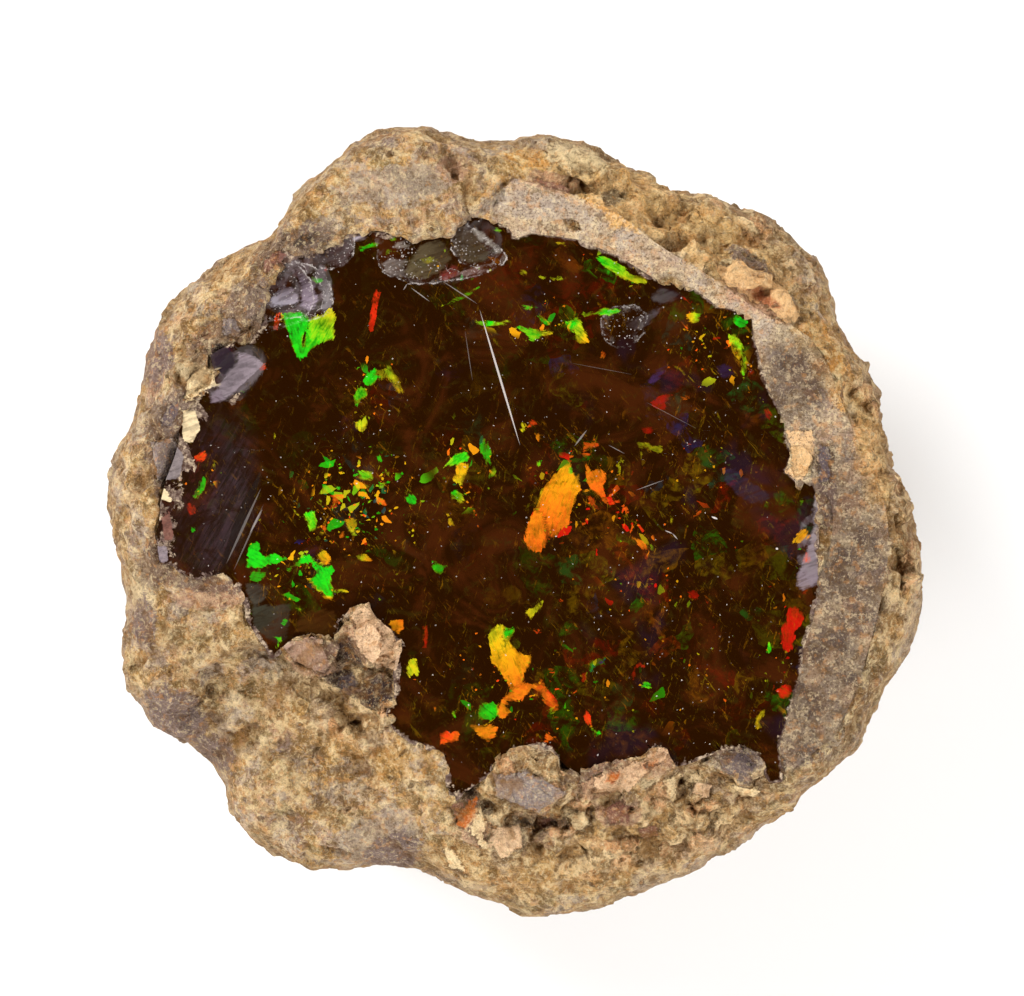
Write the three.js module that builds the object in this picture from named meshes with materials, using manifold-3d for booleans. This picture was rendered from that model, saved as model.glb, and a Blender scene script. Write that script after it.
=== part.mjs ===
// Half of an opal nodule, lying on its rounded back with its broken and ground face up.
// A rind of pale tan volcanic rock holds a core of dark precious opal. The face is ground flat
// across the opal and over a band of the rind at the top and right. Elsewhere the rock broke:
// it falls away to the girth in lumps and pits, small clasts stand up along the opal's lower
// edge, and curved shell-like chips have left the opal's rim.
// Millimetres, +Z up, X to the right and Y up the face. The origin is under the middle of the
// nodule, on the small flat that it rests on.

import * as THREE from "three";
import { mergeVertices } from "three/addons/utils/BufferGeometryUtils.js";
import Module from "manifold-3d";

const wasm = await Module();
wasm.setup();

// Driving dimensions
const FACE_HEIGHT = 30; // the ground face above the resting flat
const GIRTH_HEIGHT = 22.5; // the widest line of the nodule above the resting flat
const BROKEN_SLOPE = 0.24; // how steeply the broken rock falls away from the face
const BROKEN_FALL = 4.5; // the most that it falls before the shoulder
const SHOULDER_RADIUS = 4.5; // where the broken rock turns down to the girth
const CORE_DEPTH = 18; // how far the opal reaches below the face
const CORE_GAP = 0.3; // between the opal and the pocket in the rind
const FLAT_RADIUS = 12.5; // mean radius of the flat that the nodule rests on

// Mesh fineness
const SPOKES = 100;
const SHOULDER_RINGS = 8;
const BACK_RINGS = 7;

// The nodule's widest line, anticlockwise from the right, as seen from above the face.
const GIRTH_OUTLINE = [
  [31.3, 2.9], [30.1, 5], [28.4, 12], [25.2, 17.2], [25.5, 18], [24.9, 20], [22, 23.2],
  [18.5, 25.3], [11.5, 27], [5.7, 30.2], [2.8, 31.1], [-0.4, 30.5], [-3.8, 30.4], [-7, 31.7],
  [-10.8, 31.3], [-13, 30.1], [-15.6, 27.7], [-17, 27], [-19.4, 22.9], [-21.6, 21.9],
  [-26.2, 19], [-28.5, 16.1], [-30.8, 7.2], [-32.2, 5], [-32.7, 2], [-31.2, -5], [-31, -8],
  [-31.5, -11.8], [-30.2, -14.7], [-28.3, -16.9], [-26.8, -17.7], [-24.8, -18.2],
  [-22.9, -21.4], [-23, -23.1], [-20, -26.2], [-17.9, -27.6], [-15.5, -28], [-11, -27.5],
  [-7.5, -27.9], [-2.6, -30.2], [-0.2, -30.8], [1.1, -31.8], [3.8, -31.6], [12.6, -29.1],
  [14.9, -28], [22.5, -22.9], [23.8, -21.2], [26.3, -19.4], [28.3, -16.6], [29.6, -13.4],
  [31.5, -11], [32.7, -4.9],
];

// The limit of the ground face. At the top and right it takes in a band of the rind, and on the
// broken sides it stays inside the opal.
const GROUND_OUTLINE = [
  [29.8, -1], [29.3, 2], [28, 4.5], [24.6, 13], [23.2, 15], [20, 16.4], [16.5, 18.9],
  [11.5, 22], [7.3, 25], [-4, 28.2], [-8, 28.9], [-12, 28], [-15.5, 25.8], [-17.3, 23.6],
  [-18.6, 17.5], [-19.8, 13], [-23, 10], [-26, 7], [-27.4, 1], [-27, -2.6], [-22.5, -3.6],
  [-20.4, -6], [-19.3, -9.6], [-15.8, -8.4], [-12.6, -6.4], [-9.2, -8.4], [-8.6, -11],
  [-8.8, -15.2], [-6, -17.4], [-3.5, -19.3], [-0.4, -17.4], [5.4, -19.4], [12, -17.6],
  [17, -17.4], [19.4, -18], [21.2, -19.6], [23.5, -18.6], [26, -16], [28.2, -10], [29.6, -4],
];

// The ragged edge of the opal where it meets the rind.
const OPAL_OUTLINE = [
  [24.1, 1.5], [23.7, 2.9], [22.3, 3.1], [21.4, 3.9], [21.9, 5.2], [21.5, 6.6], [21.5, 7.8],
  [20.1, 10.4], [18.9, 14.8], [18.8, 16.1], [17.6, 16.7], [16.2, 16.9], [14.3, 18.4],
  [11.1, 19.2], [8.2, 21], [5, 22.3], [1.4, 22.8], [0.1, 22.4], [-0.6, 23.3], [-2, 24],
  [-3.5, 24.3], [-4.6, 23.6], [-5.2, 22.7], [-8.1, 22.1], [-9, 22.8], [-13.4, 22.9],
  [-14.3, 22], [-15.8, 21.3], [-17.2, 21.1], [-18.3, 21.6], [-18.6, 20.3], [-19.4, 19],
  [-19.9, 17.4], [-19.6, 16], [-20.9, 13.9], [-22.3, 14], [-23.9, 13.2], [-23.6, 11.8],
  [-24, 10.7], [-25.6, 9.6], [-26.4, 8.3], [-27, 4.8], [-28.5, 1], [-28.6, -1.2],
  [-28.3, -3.3], [-26.8, -4.2], [-25.5, -4.6], [-23, -3.9], [-21.8, -5], [-21.2, -6.6],
  [-21, -8.4], [-20.2, -9.7], [-19.1, -10.7], [-17.2, -9.2], [-16, -9], [-15, -9.6],
  [-14.3, -9.3], [-14.1, -7.8], [-13.2, -7], [-12, -6.9], [-9.6, -8.8], [-9, -9.8],
  [-9.4, -12.4], [-9.3, -13.8], [-10, -15.2], [-9.4, -16.5], [-8.2, -17.4], [-5.5, -18.5],
  [-5.1, -19.6], [-5.1, -21.4], [-4.8, -22.7], [-3.9, -21.6], [-2.1, -20.1], [-1.9, -19.2],
  [-1, -18.3], [0.4, -17.8], [1.9, -17.6], [3.1, -18.2], [5.4, -20.3], [6.5, -19.4],
  [10.1, -18.6], [11, -17.9], [12.1, -18.1], [12.5, -19.3], [13.8, -19.1], [16.5, -18],
  [18, -17.8], [19.3, -18.2], [19.9, -19.2], [20.3, -20.5], [21.2, -20.5], [20.9, -17.8],
  [22.7, -12], [22.9, -10], [23.6, -8], [24, -6], [24.2, -3.5],
];

// Shell-like chips out of the face: middle, half width, half length, depth, turn in degrees.
const CHIPS = [
  { x: -24.5, y: 2.2, across: 4.5, along: 8.2, depth: 2.3, turn: -12 }, // the left rim
  { x: -22, y: 11.6, across: 1.7, along: 2.9, depth: 0.9, turn: -42 }, // above it
  { x: -5.3, y: 21.1, across: 4.7, along: 2.4, depth: 0.8, turn: 6 }, // the top rim
  { x: -2.7, y: 22.2, across: 1.9, along: 1.8, depth: 1.2, turn: 0 }, // deeper, inside it
  { x: -16.5, y: 18.8, across: 2.1, along: 2.4, depth: 0.8, turn: 10 }, // upper left rim
  { x: -18.2, y: 18.4, across: 1.9, along: 2.1, depth: 1.1, turn: 0 },
  { x: -14.6, y: 21.6, across: 1.9, along: 1.2, depth: 0.7, turn: 20 },
  { x: 9, y: 15.6, across: 1.7, along: 2, depth: 0.4, turn: 0 }, // a crescent, upper right
  { x: 11.6, y: 17.7, across: 1.5, along: 2.4, depth: 0.6, turn: -48 },
  { x: 23.9, y: -1.3, across: 1.4, along: 3.9, depth: 0.5, turn: -8 }, // the right rim
  { x: -20.2, y: -7.6, across: 1.8, along: 3.2, depth: 1, turn: 14 }, // lower left rim
  { x: -3.9, y: -20.6, across: 1.6, along: 2.6, depth: 1.3, turn: 0 }, // the notch below
];

// Clasts bedded in the rock: middle, half sizes, height of the middle above the face, and turn.
// The worn ones are rounded, and the others have a few broken faces.
const CLASTS = [
  { x: 1.3, y: -20.7, size: [3.9, 3, 2.2], lift: -1, turn: -8, worn: true },
  { x: -16.1, y: -10.8, size: [2.3, 1.9, 1.2], lift: -0.6, turn: -20 },
  { x: -11.6, y: -9.4, size: [2.6, 2.5, 1.5], lift: -0.7, turn: 35 },
  { x: -11.2, y: -13.4, size: [2.2, 1.6, 1.2], lift: -0.8, turn: 10 },
  { x: 7.2, y: -20.9, size: [3.1, 1.4, 1.3], lift: -0.8, turn: 24 },
  { x: 11, y: -19.4, size: [2, 1.3, 1], lift: -0.5, turn: 30 },
  { x: 17.4, y: -19.4, size: [2.7, 1.6, 1], lift: -0.7, turn: -4 },
  { x: -3.2, y: -24.2, size: [1.5, 2.3, 1.3], lift: -1.6, turn: 12 },
  { x: -0.6, y: -25.2, size: [1.9, 1.7, 1.2], lift: -2.1, turn: 40 },
  { x: 8.3, y: -23.4, size: [2.2, 1.5, 1.3], lift: -1.9, turn: 0 },
  { x: 14.6, y: -22.6, size: [2.1, 1.6, 1.2], lift: -1.7, turn: 50 },
  { x: 18.2, y: 19.6, size: [2.7, 1.7, 1], lift: -0.8, turn: -20 },
  { x: 21.4, y: 17.2, size: [2.1, 1.4, 0.9], lift: -0.7, turn: -25 },
  { x: 5.2, y: 28.2, size: [2.6, 1.5, 1.3], lift: -1.9, turn: -10 },
  { x: -25.9, y: 11.9, size: [2.1, 1.4, 1], lift: -0.6, turn: 40 },
  { x: -28.2, y: 8, size: [1.3, 1.3, 1], lift: -1.3, turn: 20 },
  { x: -15.4, y: 22.6, size: [2.2, 1, 0.8], lift: -0.1, turn: 16 },
  { x: -21, y: 16.9, size: [1, 2.4, 0.9], lift: -0.4, turn: 6 },
  { x: 22.9, y: 4.8, size: [1.2, 1.7, 0.6], lift: -0.2, turn: 0 },
  { x: -27, y: -13.4, size: [2.6, 2, 1.4], lift: -3.4, turn: -15, worn: true },
];

// Pits and cracks in the rock: as the clasts, but taken out of it.
const PITS = [
  { x: -4.9, y: 29, size: [0.5, 2.2, 1.4], lift: -0.4, turn: 8 },
  { x: 4.6, y: 23.6, size: [1, 0.5, 0.7], lift: 0, turn: -30 },
  { x: 7.6, y: 25.9, size: [1.3, 1, 1.3], lift: -1.2, turn: 0 },
  { x: 12.4, y: 24.1, size: [1.2, 0.8, 1.2], lift: -1.8, turn: 20 },
  { x: 15.8, y: 20.8, size: [0.6, 1.2, 1], lift: -1.2, turn: -30 },
  { x: 24.2, y: 14.9, size: [0.6, 1.7, 1.2], lift: -1.2, turn: 18 },
  { x: 26.9, y: 9.2, size: [0.8, 2.4, 1.3], lift: -1.2, turn: 12 },
  { x: 28.3, y: 3.9, size: [1.1, 0.6, 1], lift: -0.4, turn: -20 },
  { x: 30.5, y: -3.5, size: [0.6, 2.4, 1.3], lift: -1.6, turn: 4 },
  { x: 1.9, y: -24.2, size: [2.9, 0.7, 1.3], lift: -1.7, turn: -6 },
  { x: -2.2, y: -22.6, size: [0.8, 0.9, 1.3], lift: -1, turn: 0 },
  { x: 13.6, y: -20.9, size: [1, 0.8, 1.1], lift: -1, turn: 0 },
  { x: 19.6, y: -21.6, size: [1.1, 0.6, 1], lift: -1, turn: 10 },
  { x: -13.6, y: -12.3, size: [1.6, 0.5, 1], lift: -0.9, turn: -18 },
  { x: -26.6, y: 14.2, size: [1.2, 1.6, 1], lift: -1.6, turn: -20 },
  { x: -24.2, y: -7.3, size: [1.8, 0.6, 0.9], lift: -1.2, turn: 4 },
];

// Grooves weathered into the rock: the line of the bottom, half width and depth.
const GROOVES = [
  { line: [[2, 28], [8, 26], [13, 23.8], [17.5, 22], [21, 18.8], [24, 15.6]], half: 2.4, depth: 1.9 },
  { line: [[27, 11.5], [28.3, 6.5], [29.9, 2], [30.8, -3], [30.2, -8]], half: 1.2, depth: 1.5 },
  { line: [[30, -8.5], [28.6, -13], [25.6, -17.8]], half: 1.2, depth: 0.9 },
  { line: [[-31, 3], [-29.5, 7.5], [-27.6, 13.6]], half: 1.3, depth: 0.8 },
  { line: [[-21, -17], [-15.5, -19.5], [-9, -23.5]], half: 2.2, depth: 1 },
];

// A random number from -1 to 1 for a point of the whole-number lattice.
function lattice(i, j, k) {
  const wave = Math.sin(i * 127.1 + j * 311.7 + k * 74.7) * 43758.5453;
  return 2 * (wave - Math.floor(wave)) - 1;
}

// Smooth random lumps about one unit across, from -1 to 1, the same on every run.
function lumps(x, y, z) {
  const [i, j, k] = [x, y, z].map(Math.floor);
  const [u, v, w] = [x - i, y - j, z - k].map((f) => f * f * (3 - 2 * f));
  const along = (b, c) => {
    const from = lattice(i, j + b, k + c);
    return from + (lattice(i + 1, j + b, k + c) - from) * u;
  };
  const low = along(0, 0) + (along(1, 0) - along(0, 0)) * v;
  const high = along(0, 1) + (along(1, 1) - along(0, 1)) * v;
  return low + (high - low) * w;
}

// The rock's relief in millimetres: broad swells, and rounded knobs with sharp creases between.
// With a scale of 2 they are all twice as wide and twice as high.
function rockRelief(p, scale) {
  const [x, y, z] = p.toArray().map((length) => length / scale);
  const swell = 0.8 * lumps(x / 12, y / 12, z / 12 + 7);
  const knobs = 0.9 - 2.4 * Math.abs(lumps(x / 6.5, y / 6.5, z / 6.5));
  const grit = 0.35 - 0.9 * Math.abs(lumps(x / 3.1, y / 3.1, z / 3.1 + 3));
  return scale * (swell + 0.6 * knobs + 0.6 * grit);
}

// How deep the grooves are at a point of the face.
function grooveDepth(p) {
  const here = new THREE.Vector3(p.x, p.y, 0);
  const nearest = new THREE.Vector3();
  let depth = 0;
  for (const groove of GROOVES) {
    const line = groove.line.map(([x, y]) => new THREE.Vector3(x, y, 0));
    for (let n = 0; n + 1 < line.length; n++) {
      new THREE.Line3(line[n], line[n + 1]).closestPointToPoint(here, true, nearest);
      const away = nearest.distanceTo(here) / groove.half;
      depth = Math.max(depth, groove.depth * Math.max(0, 1 - away * away));
    }
  }
  return depth;
}

// Distance from the middle to an outline along each spoke.
function spokeLengths(outline) {
  const curve = new THREE.CatmullRomCurve3(
    outline.map(([x, y]) => new THREE.Vector3(x, y, 0)), true, "centripetal",
  );
  const points = curve.getPoints(outline.length * 8);
  return Array.from({ length: SPOKES }, (_, spoke) => {
    const angle = (2 * Math.PI * spoke) / SPOKES;
    const ray = new THREE.Vector2(Math.cos(angle), Math.sin(angle));
    let reach = 0;
    for (let n = 0; n + 1 < points.length; n++) {
      const [a, b] = [points[n], points[n + 1]];
      const [sideA, sideB] = [a, b].map((p) => ray.x * p.y - ray.y * p.x);
      if (sideA <= 0 === sideB <= 0) continue;
      const share = sideA / (sideA - sideB);
      const along = ray.x * (a.x + (b.x - a.x) * share) + ray.y * (a.y + (b.y - a.y) * share);
      reach = Math.max(reach, along);
    }
    return reach;
  });
}

// A closed ring of numbers or points with its small wiggles averaged away.
function smoothed(ring, passes, mean) {
  let result = ring;
  for (let pass = 0; pass < passes; pass++) {
    const last = result;
    result = last.map((here, n) =>
      mean(last[(n + last.length - 1) % last.length], here, last[(n + 1) % last.length]),
    );
  }
  return result;
}

const meanLength = (before, here, after) => (before + 2 * here + after) / 4;
const meanPoint = (before, here, after) =>
  here.clone().multiplyScalar(2).add(before).add(after).divideScalar(4);

// A closed surface through a stack of rings of equal length, with a point at each end.
// The rings run anticlockwise seen from above, and the first one is the lowest.
function closedStack(bottom, rings, top) {
  const count = rings[0].length;
  const positions = [bottom, ...rings.flat(), top].flatMap((p) => [p.x, p.y, p.z]);
  const index = [];
  const at = (ring, n) => 1 + ring * count + (n % count);
  for (let n = 0; n < count; n++) {
    index.push(0, at(0, n + 1), at(0, n));
    for (let ring = 0; ring + 1 < rings.length; ring++) {
      const [a, b] = [at(ring, n), at(ring, n + 1)];
      const [c, d] = [at(ring + 1, n), at(ring + 1, n + 1)];
      index.push(a, b, d, a, d, c);
    }
    index.push(at(rings.length - 1, n), at(rings.length - 1, n + 1), positions.length / 3 - 1);
  }
  const geometry = new THREE.BufferGeometry();
  geometry.setAttribute("position", new THREE.Float32BufferAttribute(positions, 3));
  geometry.setIndex(index);
  return geometry;
}

function solidFrom(geometry) {
  const bare = geometry.clone();
  bare.deleteAttribute("normal");
  bare.deleteAttribute("uv");
  const merged = mergeVertices(bare, 1e-4);
  return new wasm.Manifold(
    new wasm.Mesh({
      numProp: 3,
      vertProperties: merged.attributes.position.array,
      triVerts: new Uint32Array(merged.index.array),
    }),
  );
}

function geometryFrom(solid) {
  const { vertProperties, triVerts } = solid.getMesh();
  const geometry = new THREE.BufferGeometry();
  geometry.setAttribute("position", new THREE.BufferAttribute(vertProperties, 3));
  geometry.setIndex(new THREE.BufferAttribute(triVerts, 1));
  return geometry;
}

// The whole nodule before the opal's pocket: the resting flat, the rounded back, the girth, the
// broken shoulder and the ground face.
function noduleSolid() {
  const girth = spokeLengths(GIRTH_OUTLINE);
  const ground = spokeLengths(GROUND_OUTLINE);
  const ringOf = (place) => girth.map((reach, spoke) => {
    const angle = (2 * Math.PI * spoke) / SPOKES;
    const { out, up } = place(reach, ground[spoke], spoke, angle);
    return new THREE.Vector3(out * Math.cos(angle), out * Math.sin(angle), up);
  });
  const rings = [];

  for (let step = 0; step <= BACK_RINGS; step++) {
    const climb = (step / BACK_RINGS) * (Math.PI / 2); // 0 at the flat, a right angle at the girth
    const rounded = smoothed(girth, 4 * (BACK_RINGS - step), meanLength);
    rings.push(ringOf((reach, edge, spoke, angle) => {
      const flat = FLAT_RADIUS + 1.8 * lumps(2 * Math.cos(angle), 2 * Math.sin(angle), 5);
      const out = flat + (rounded[spoke] - flat) * Math.sin(climb);
      const up = GIRTH_HEIGHT * (1 - Math.cos(climb));
      if (step === 0) return { out, up };
      const point = new THREE.Vector3(out * Math.cos(angle), out * Math.sin(angle), up);
      const bulge = rockRelief(point, 1.9) * Math.cos(climb) ** 0.5;
      return {
        out: out + bulge * Math.sin(climb),
        up: Math.max(up - bulge * Math.cos(climb), 0.6),
      };
    }));
  }

  for (let step = 1; step <= SHOULDER_RINGS; step++) {
    const share = Math.cos((step / SHOULDER_RINGS) * (Math.PI / 2)) ** 0.85; // 0 at the face
    rings.push(ringOf((reach, edge, spoke, angle) => {
      const out = edge + (reach - edge) * share;
      const point = new THREE.Vector3(out * Math.cos(angle), out * Math.sin(angle), 0);
      const fall = Math.min(BROKEN_FALL, BROKEN_SLOPE * (reach - edge)) * share;
      const shoulder = Math.min(SHOULDER_RADIUS, reach - edge);
      const turn = Math.max(0, 1 - (reach - out) / shoulder);
      const crest = FACE_HEIGHT - fall - GIRTH_HEIGHT;
      const broken = Math.min(1, 2.5 * share, (out - edge) / 1.5) * (1 - 0.7 * turn);
      const relief = rockRelief(point.setZ(FACE_HEIGHT - fall), 1) - grooveDepth(point);
      return { out, up: GIRTH_HEIGHT + crest * Math.sqrt(1 - turn ** 2.4) + broken * relief };
    }));
  }
  const bottom = new THREE.Vector3(0, 0, 0);
  const top = new THREE.Vector3(0, 0, FACE_HEIGHT);
  return solidFrom(closedStack(bottom, rings, top));
}

// The opal, or the room for it in the rind, which is larger all round by the margin. Going down,
// each ring is smaller and rounder than the last.
function coreSolid(margin, headroom) {
  const outline = OPAL_OUTLINE.map(([x, y]) => new THREE.Vector3(x, y, 0));
  const levels = [
    { depth: 15.5, passes: 90 },
    { depth: 10.5, passes: 40 },
    { depth: 5.5, passes: 14 },
    { depth: 2, passes: 4 },
    { depth: 0, passes: 0 },
  ];
  const rings = levels.map(({ depth, passes }) => {
    const width = Math.sqrt(1 - (depth / CORE_DEPTH) ** 2);
    const ring = smoothed(outline, passes, meanPoint).map((p) => p.multiplyScalar(width));
    const drop = depth > 0 ? depth + margin : 0;
    return widened(ring, margin).map((p) => p.setZ(FACE_HEIGHT - drop));
  });
  if (headroom > 0) {
    rings.push(rings.at(-1).map((p) => p.clone().setZ(FACE_HEIGHT + headroom)));
  }
  const bottom = new THREE.Vector3(0, 0, FACE_HEIGHT - CORE_DEPTH - margin);
  const top = new THREE.Vector3(0, 0, FACE_HEIGHT + headroom);
  return solidFrom(withFlatLid(closedStack(bottom, rings, top), rings.at(-1)));
}

// A ring of points moved outwards in its own plane.
function widened(ring, margin) {
  return ring.map((here, n) => {
    const before = ring[(n + ring.length - 1) % ring.length];
    const along = ring[(n + 1) % ring.length].clone().sub(before).setZ(0).normalize();
    return new THREE.Vector3(here.x + along.y * margin, here.y - along.x * margin, 0);
  });
}

// Swaps the fan of triangles at the top of a stack for ones that follow its bent outline.
function withFlatLid(geometry, edge) {
  const old = geometry.index.array;
  const apex = geometry.attributes.position.count - 1;
  const first = apex - edge.length;
  const index = [];
  for (let n = 0; n < old.length; n += 3) {
    if (old[n + 2] !== apex) index.push(old[n], old[n + 1], old[n + 2]);
  }
  const outline = edge.map((p) => new THREE.Vector2(p.x, p.y));
  for (const lid of THREE.ShapeUtils.triangulateShape(outline, [])) {
    index.push(...lid.map((n) => first + n));
  }
  geometry.setIndex(index);
  return geometry;
}

// A chip is the upper cap of an ellipsoid that hangs just above the face.
function chipSolid({ x, y, across, along, depth, turn }) {
  const roundness = 5; // height of the ellipsoid's middle above the face, in depths
  const tall = (roundness + 1) * depth;
  const widen = 1 / Math.sqrt(1 - (roundness / (roundness + 1)) ** 2);
  const geometry = new THREE.SphereGeometry(1, 14, 15);
  geometry.rotateX(Math.PI / 2);
  geometry.scale(across * widen, along * widen, tall);
  geometry.rotateZ(THREE.MathUtils.degToRad(turn));
  geometry.translate(x, y, FACE_HEIGHT + roundness * depth);
  return solidFrom(geometry);
}

// A lump of rock with uneven flat faces, for a clast or, taken away, a pit.
function fragmentSolid({ x, y, size, lift, turn, worn }) {
  const geometry = worn ? new THREE.IcosahedronGeometry(1, 1) : new THREE.DodecahedronGeometry(1);
  const corners = geometry.attributes.position;
  const corner = new THREE.Vector3();
  for (let n = 0; n < corners.count; n++) {
    corner.fromBufferAttribute(corners, n);
    const uneven = 1 + 0.22 * lumps(corner.x * 1.7 + x, corner.y * 1.7 + y, corner.z * 1.7);
    corners.setXYZ(n, ...corner.multiplyScalar(uneven).toArray());
  }
  geometry.scale(...size);
  geometry.rotateZ(THREE.MathUtils.degToRad(turn));
  geometry.translate(x, y, FACE_HEIGHT + lift);
  return solidFrom(geometry);
}

function rindGeometry() {
  let rock = noduleSolid();
  for (const clast of CLASTS) rock = rock.add(fragmentSolid(clast));
  for (const pit of PITS) rock = rock.subtract(fragmentSolid(pit));
  rock = rock.subtract(coreSolid(CORE_GAP / 2, 6));
  for (const chip of CHIPS) rock = rock.subtract(chipSolid(chip));
  return geometryFrom(largestPiece(rock));
}

// What the cuts leave loose, such as a crumb at the lip of a chip, falls away.
function largestPiece(solid) {
  return solid.decompose().sort((a, b) => b.volume() - a.volume())[0];
}

function opalGeometry() {
  let opal = coreSolid(-CORE_GAP / 2, 0);
  for (const chip of CHIPS) opal = opal.subtract(chipSolid(chip));
  return geometryFrom(largestPiece(opal));
}

const rind = new THREE.Mesh(
  rindGeometry(),
  new THREE.MeshStandardMaterial({ color: 0xb79a6c, roughness: 0.95, metalness: 0 }),
);
rind.name = "rind";

const opal = new THREE.Mesh(
  opalGeometry(),
  new THREE.MeshStandardMaterial({ color: 0x2a1206, roughness: 0.08, metalness: 0 }),
);
opal.name = "opal";

const nodule = new THREE.Group();
nodule.add(rind, opal);

export default nodule;
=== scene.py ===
# %% [markdown]
# # Half of an opal nodule
# The object is a rough, tan lump of volcanic rock with a core of dark precious opal. It was
# broken and ground open, and it lies on its rounded back, so the camera looks straight down on
# its face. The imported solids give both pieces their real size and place. This lesson gives them
# their surfaces: grain, pits and weathered colours for the rock, and a glassy body with flashes
# of green, yellow, orange and red for the opal.

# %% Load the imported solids
import math
import bmesh
import bpy
import numpy as np
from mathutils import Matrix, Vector, kdtree, noise


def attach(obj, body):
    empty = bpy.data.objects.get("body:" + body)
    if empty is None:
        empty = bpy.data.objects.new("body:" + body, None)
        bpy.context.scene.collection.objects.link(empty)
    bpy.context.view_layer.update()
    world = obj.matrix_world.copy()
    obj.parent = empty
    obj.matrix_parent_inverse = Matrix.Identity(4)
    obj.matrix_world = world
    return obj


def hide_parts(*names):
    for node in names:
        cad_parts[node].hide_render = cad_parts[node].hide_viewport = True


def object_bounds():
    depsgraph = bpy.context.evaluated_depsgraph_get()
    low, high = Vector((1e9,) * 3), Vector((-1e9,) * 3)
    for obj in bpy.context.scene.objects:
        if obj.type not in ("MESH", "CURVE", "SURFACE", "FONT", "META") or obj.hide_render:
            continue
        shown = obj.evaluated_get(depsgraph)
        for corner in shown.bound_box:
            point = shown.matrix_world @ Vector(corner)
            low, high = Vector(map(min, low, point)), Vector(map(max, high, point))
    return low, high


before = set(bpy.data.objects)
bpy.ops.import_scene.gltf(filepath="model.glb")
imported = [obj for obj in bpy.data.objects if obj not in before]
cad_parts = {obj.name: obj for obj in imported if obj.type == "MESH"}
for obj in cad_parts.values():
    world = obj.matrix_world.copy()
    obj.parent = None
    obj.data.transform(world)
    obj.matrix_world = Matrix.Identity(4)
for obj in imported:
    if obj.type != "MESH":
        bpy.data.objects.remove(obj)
noise.seed_set(7)  # Blender seeds its noise vectors by the clock unless it is told otherwise
cad_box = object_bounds()
MM = 0.001
FACE = 30 * MM
LEVEL = 0.02 * MM  # as far as a point of the ground face may lie from it
FAR_OUTSIDE = -9.0  # the distance that stands for "in no outline at all", in millimetres
print("solids:", sorted(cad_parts))

# %% [markdown]
# ## The camera
# The photograph was taken from straight above with a long lens, so there is hardly any
# perspective. A 300 mm lens on a 36 mm sensor does the same here. Its height follows from the
# width of the view at the ground face, and it stands a little off the middle, because the
# nodule doesn't sit in the middle of the photograph.

# %% Camera
VIEW_WIDTH = 81.4 * MM
VIEW_MIDDLE = Vector((-0.16, 1.88, 0)) * MM
LENS = 300
SENSOR = 36

camera = bpy.data.objects.new("camera", bpy.data.cameras.new("camera"))
bpy.context.scene.collection.objects.link(camera)
camera.data.lens = LENS
camera.data.sensor_width = SENSOR
camera.data.clip_start = 0.01
camera.data.clip_end = 20
camera.location = VIEW_MIDDLE + Vector((0, 0, FACE + VIEW_WIDTH * LENS / SENSOR))
bpy.context.scene.camera = camera
bpy.context.scene.view_settings.view_transform = "Standard"
print("camera height:", round(camera.location.z, 3), "m")

# %% [markdown]
# ## Floor and light
# A dark, glassy stone is lit with a light tent that is open at the top: the sides glow, and the
# polished face mirrors only the dark opening that the lens looks through. The tent here is the
# world's background, bright near the horizon and dark overhead. One soft box from the upper left
# gives the rock its relief, two weaker ones keep its shadows open, and the floor is plain and
# pale.

# %% Tent, soft box and floor
TENT_GLOW = 1.15
TENT_DARK = 0.015
KEY_POWER = 5.2

world = bpy.data.worlds.new("tent")
bpy.context.scene.world = world
world.use_nodes = True
world.node_tree.nodes.clear()
direction = world.node_tree.nodes.new("ShaderNodeTexCoord")
split = world.node_tree.nodes.new("ShaderNodeSeparateXYZ")
opening = world.node_tree.nodes.new("ShaderNodeMapRange")
opening.interpolation_type = "SMOOTHSTEP"
opening.inputs["From Min"].default_value = 0.5
opening.inputs["From Max"].default_value = 0.86
opening.inputs["To Min"].default_value = TENT_GLOW
opening.inputs["To Max"].default_value = TENT_DARK
background = world.node_tree.nodes.new("ShaderNodeBackground")
background.inputs["Color"].default_value = (1, 0.985, 0.96, 1)
sky = world.node_tree.nodes.new("ShaderNodeOutputWorld")
world.node_tree.links.new(direction.outputs["Generated"], split.inputs[0])
world.node_tree.links.new(split.outputs["Z"], opening.inputs["Value"])
world.node_tree.links.new(opening.outputs["Result"], background.inputs["Strength"])
world.node_tree.links.new(background.outputs[0], sky.inputs["Surface"])


def soft_box(name, place, size, power):
    """A square lamp that faces the middle of the nodule."""
    lamp = bpy.data.lights.new(name, "AREA")
    lamp.shape = "SQUARE"
    lamp.size = size
    lamp.energy = power
    box = bpy.data.objects.new(name, lamp)
    box.location = place
    box.rotation_euler = (Vector((0, 0, FACE)) - box.location).to_track_quat("-Z", "Y").to_euler()
    box.visible_glossy = False  # or the polished face shows it as a white square from the side
    bpy.context.scene.collection.objects.link(box)


soft_box("key", Vector((-0.42, 0.38, 0.38)), 0.4, KEY_POWER)
soft_box("fill", Vector((0.5, -0.12, 0.36)), 0.4, 0.5 * KEY_POWER)
soft_box("front", Vector((-0.3, -0.5, 0.36)), 0.4, 0.5 * KEY_POWER)

ground = bmesh.new()
bmesh.ops.create_grid(ground, x_segments=1, y_segments=1, size=3)
floor_mesh = bpy.data.meshes.new("floor")
ground.to_mesh(floor_mesh)
ground.free()
floor = bpy.data.objects.new("floor", floor_mesh)
bpy.context.scene.collection.objects.link(floor)
paper = bpy.data.materials.new("paper")
paper.use_nodes = True
paper.node_tree.nodes["Principled BSDF"].inputs["Base Color"].default_value = (0.92, 0.92, 0.92, 1)
paper.node_tree.nodes["Principled BSDF"].inputs["Roughness"].default_value = 0.9
floor.data.materials.append(paper)
print("floor and three soft boxes")

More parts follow.
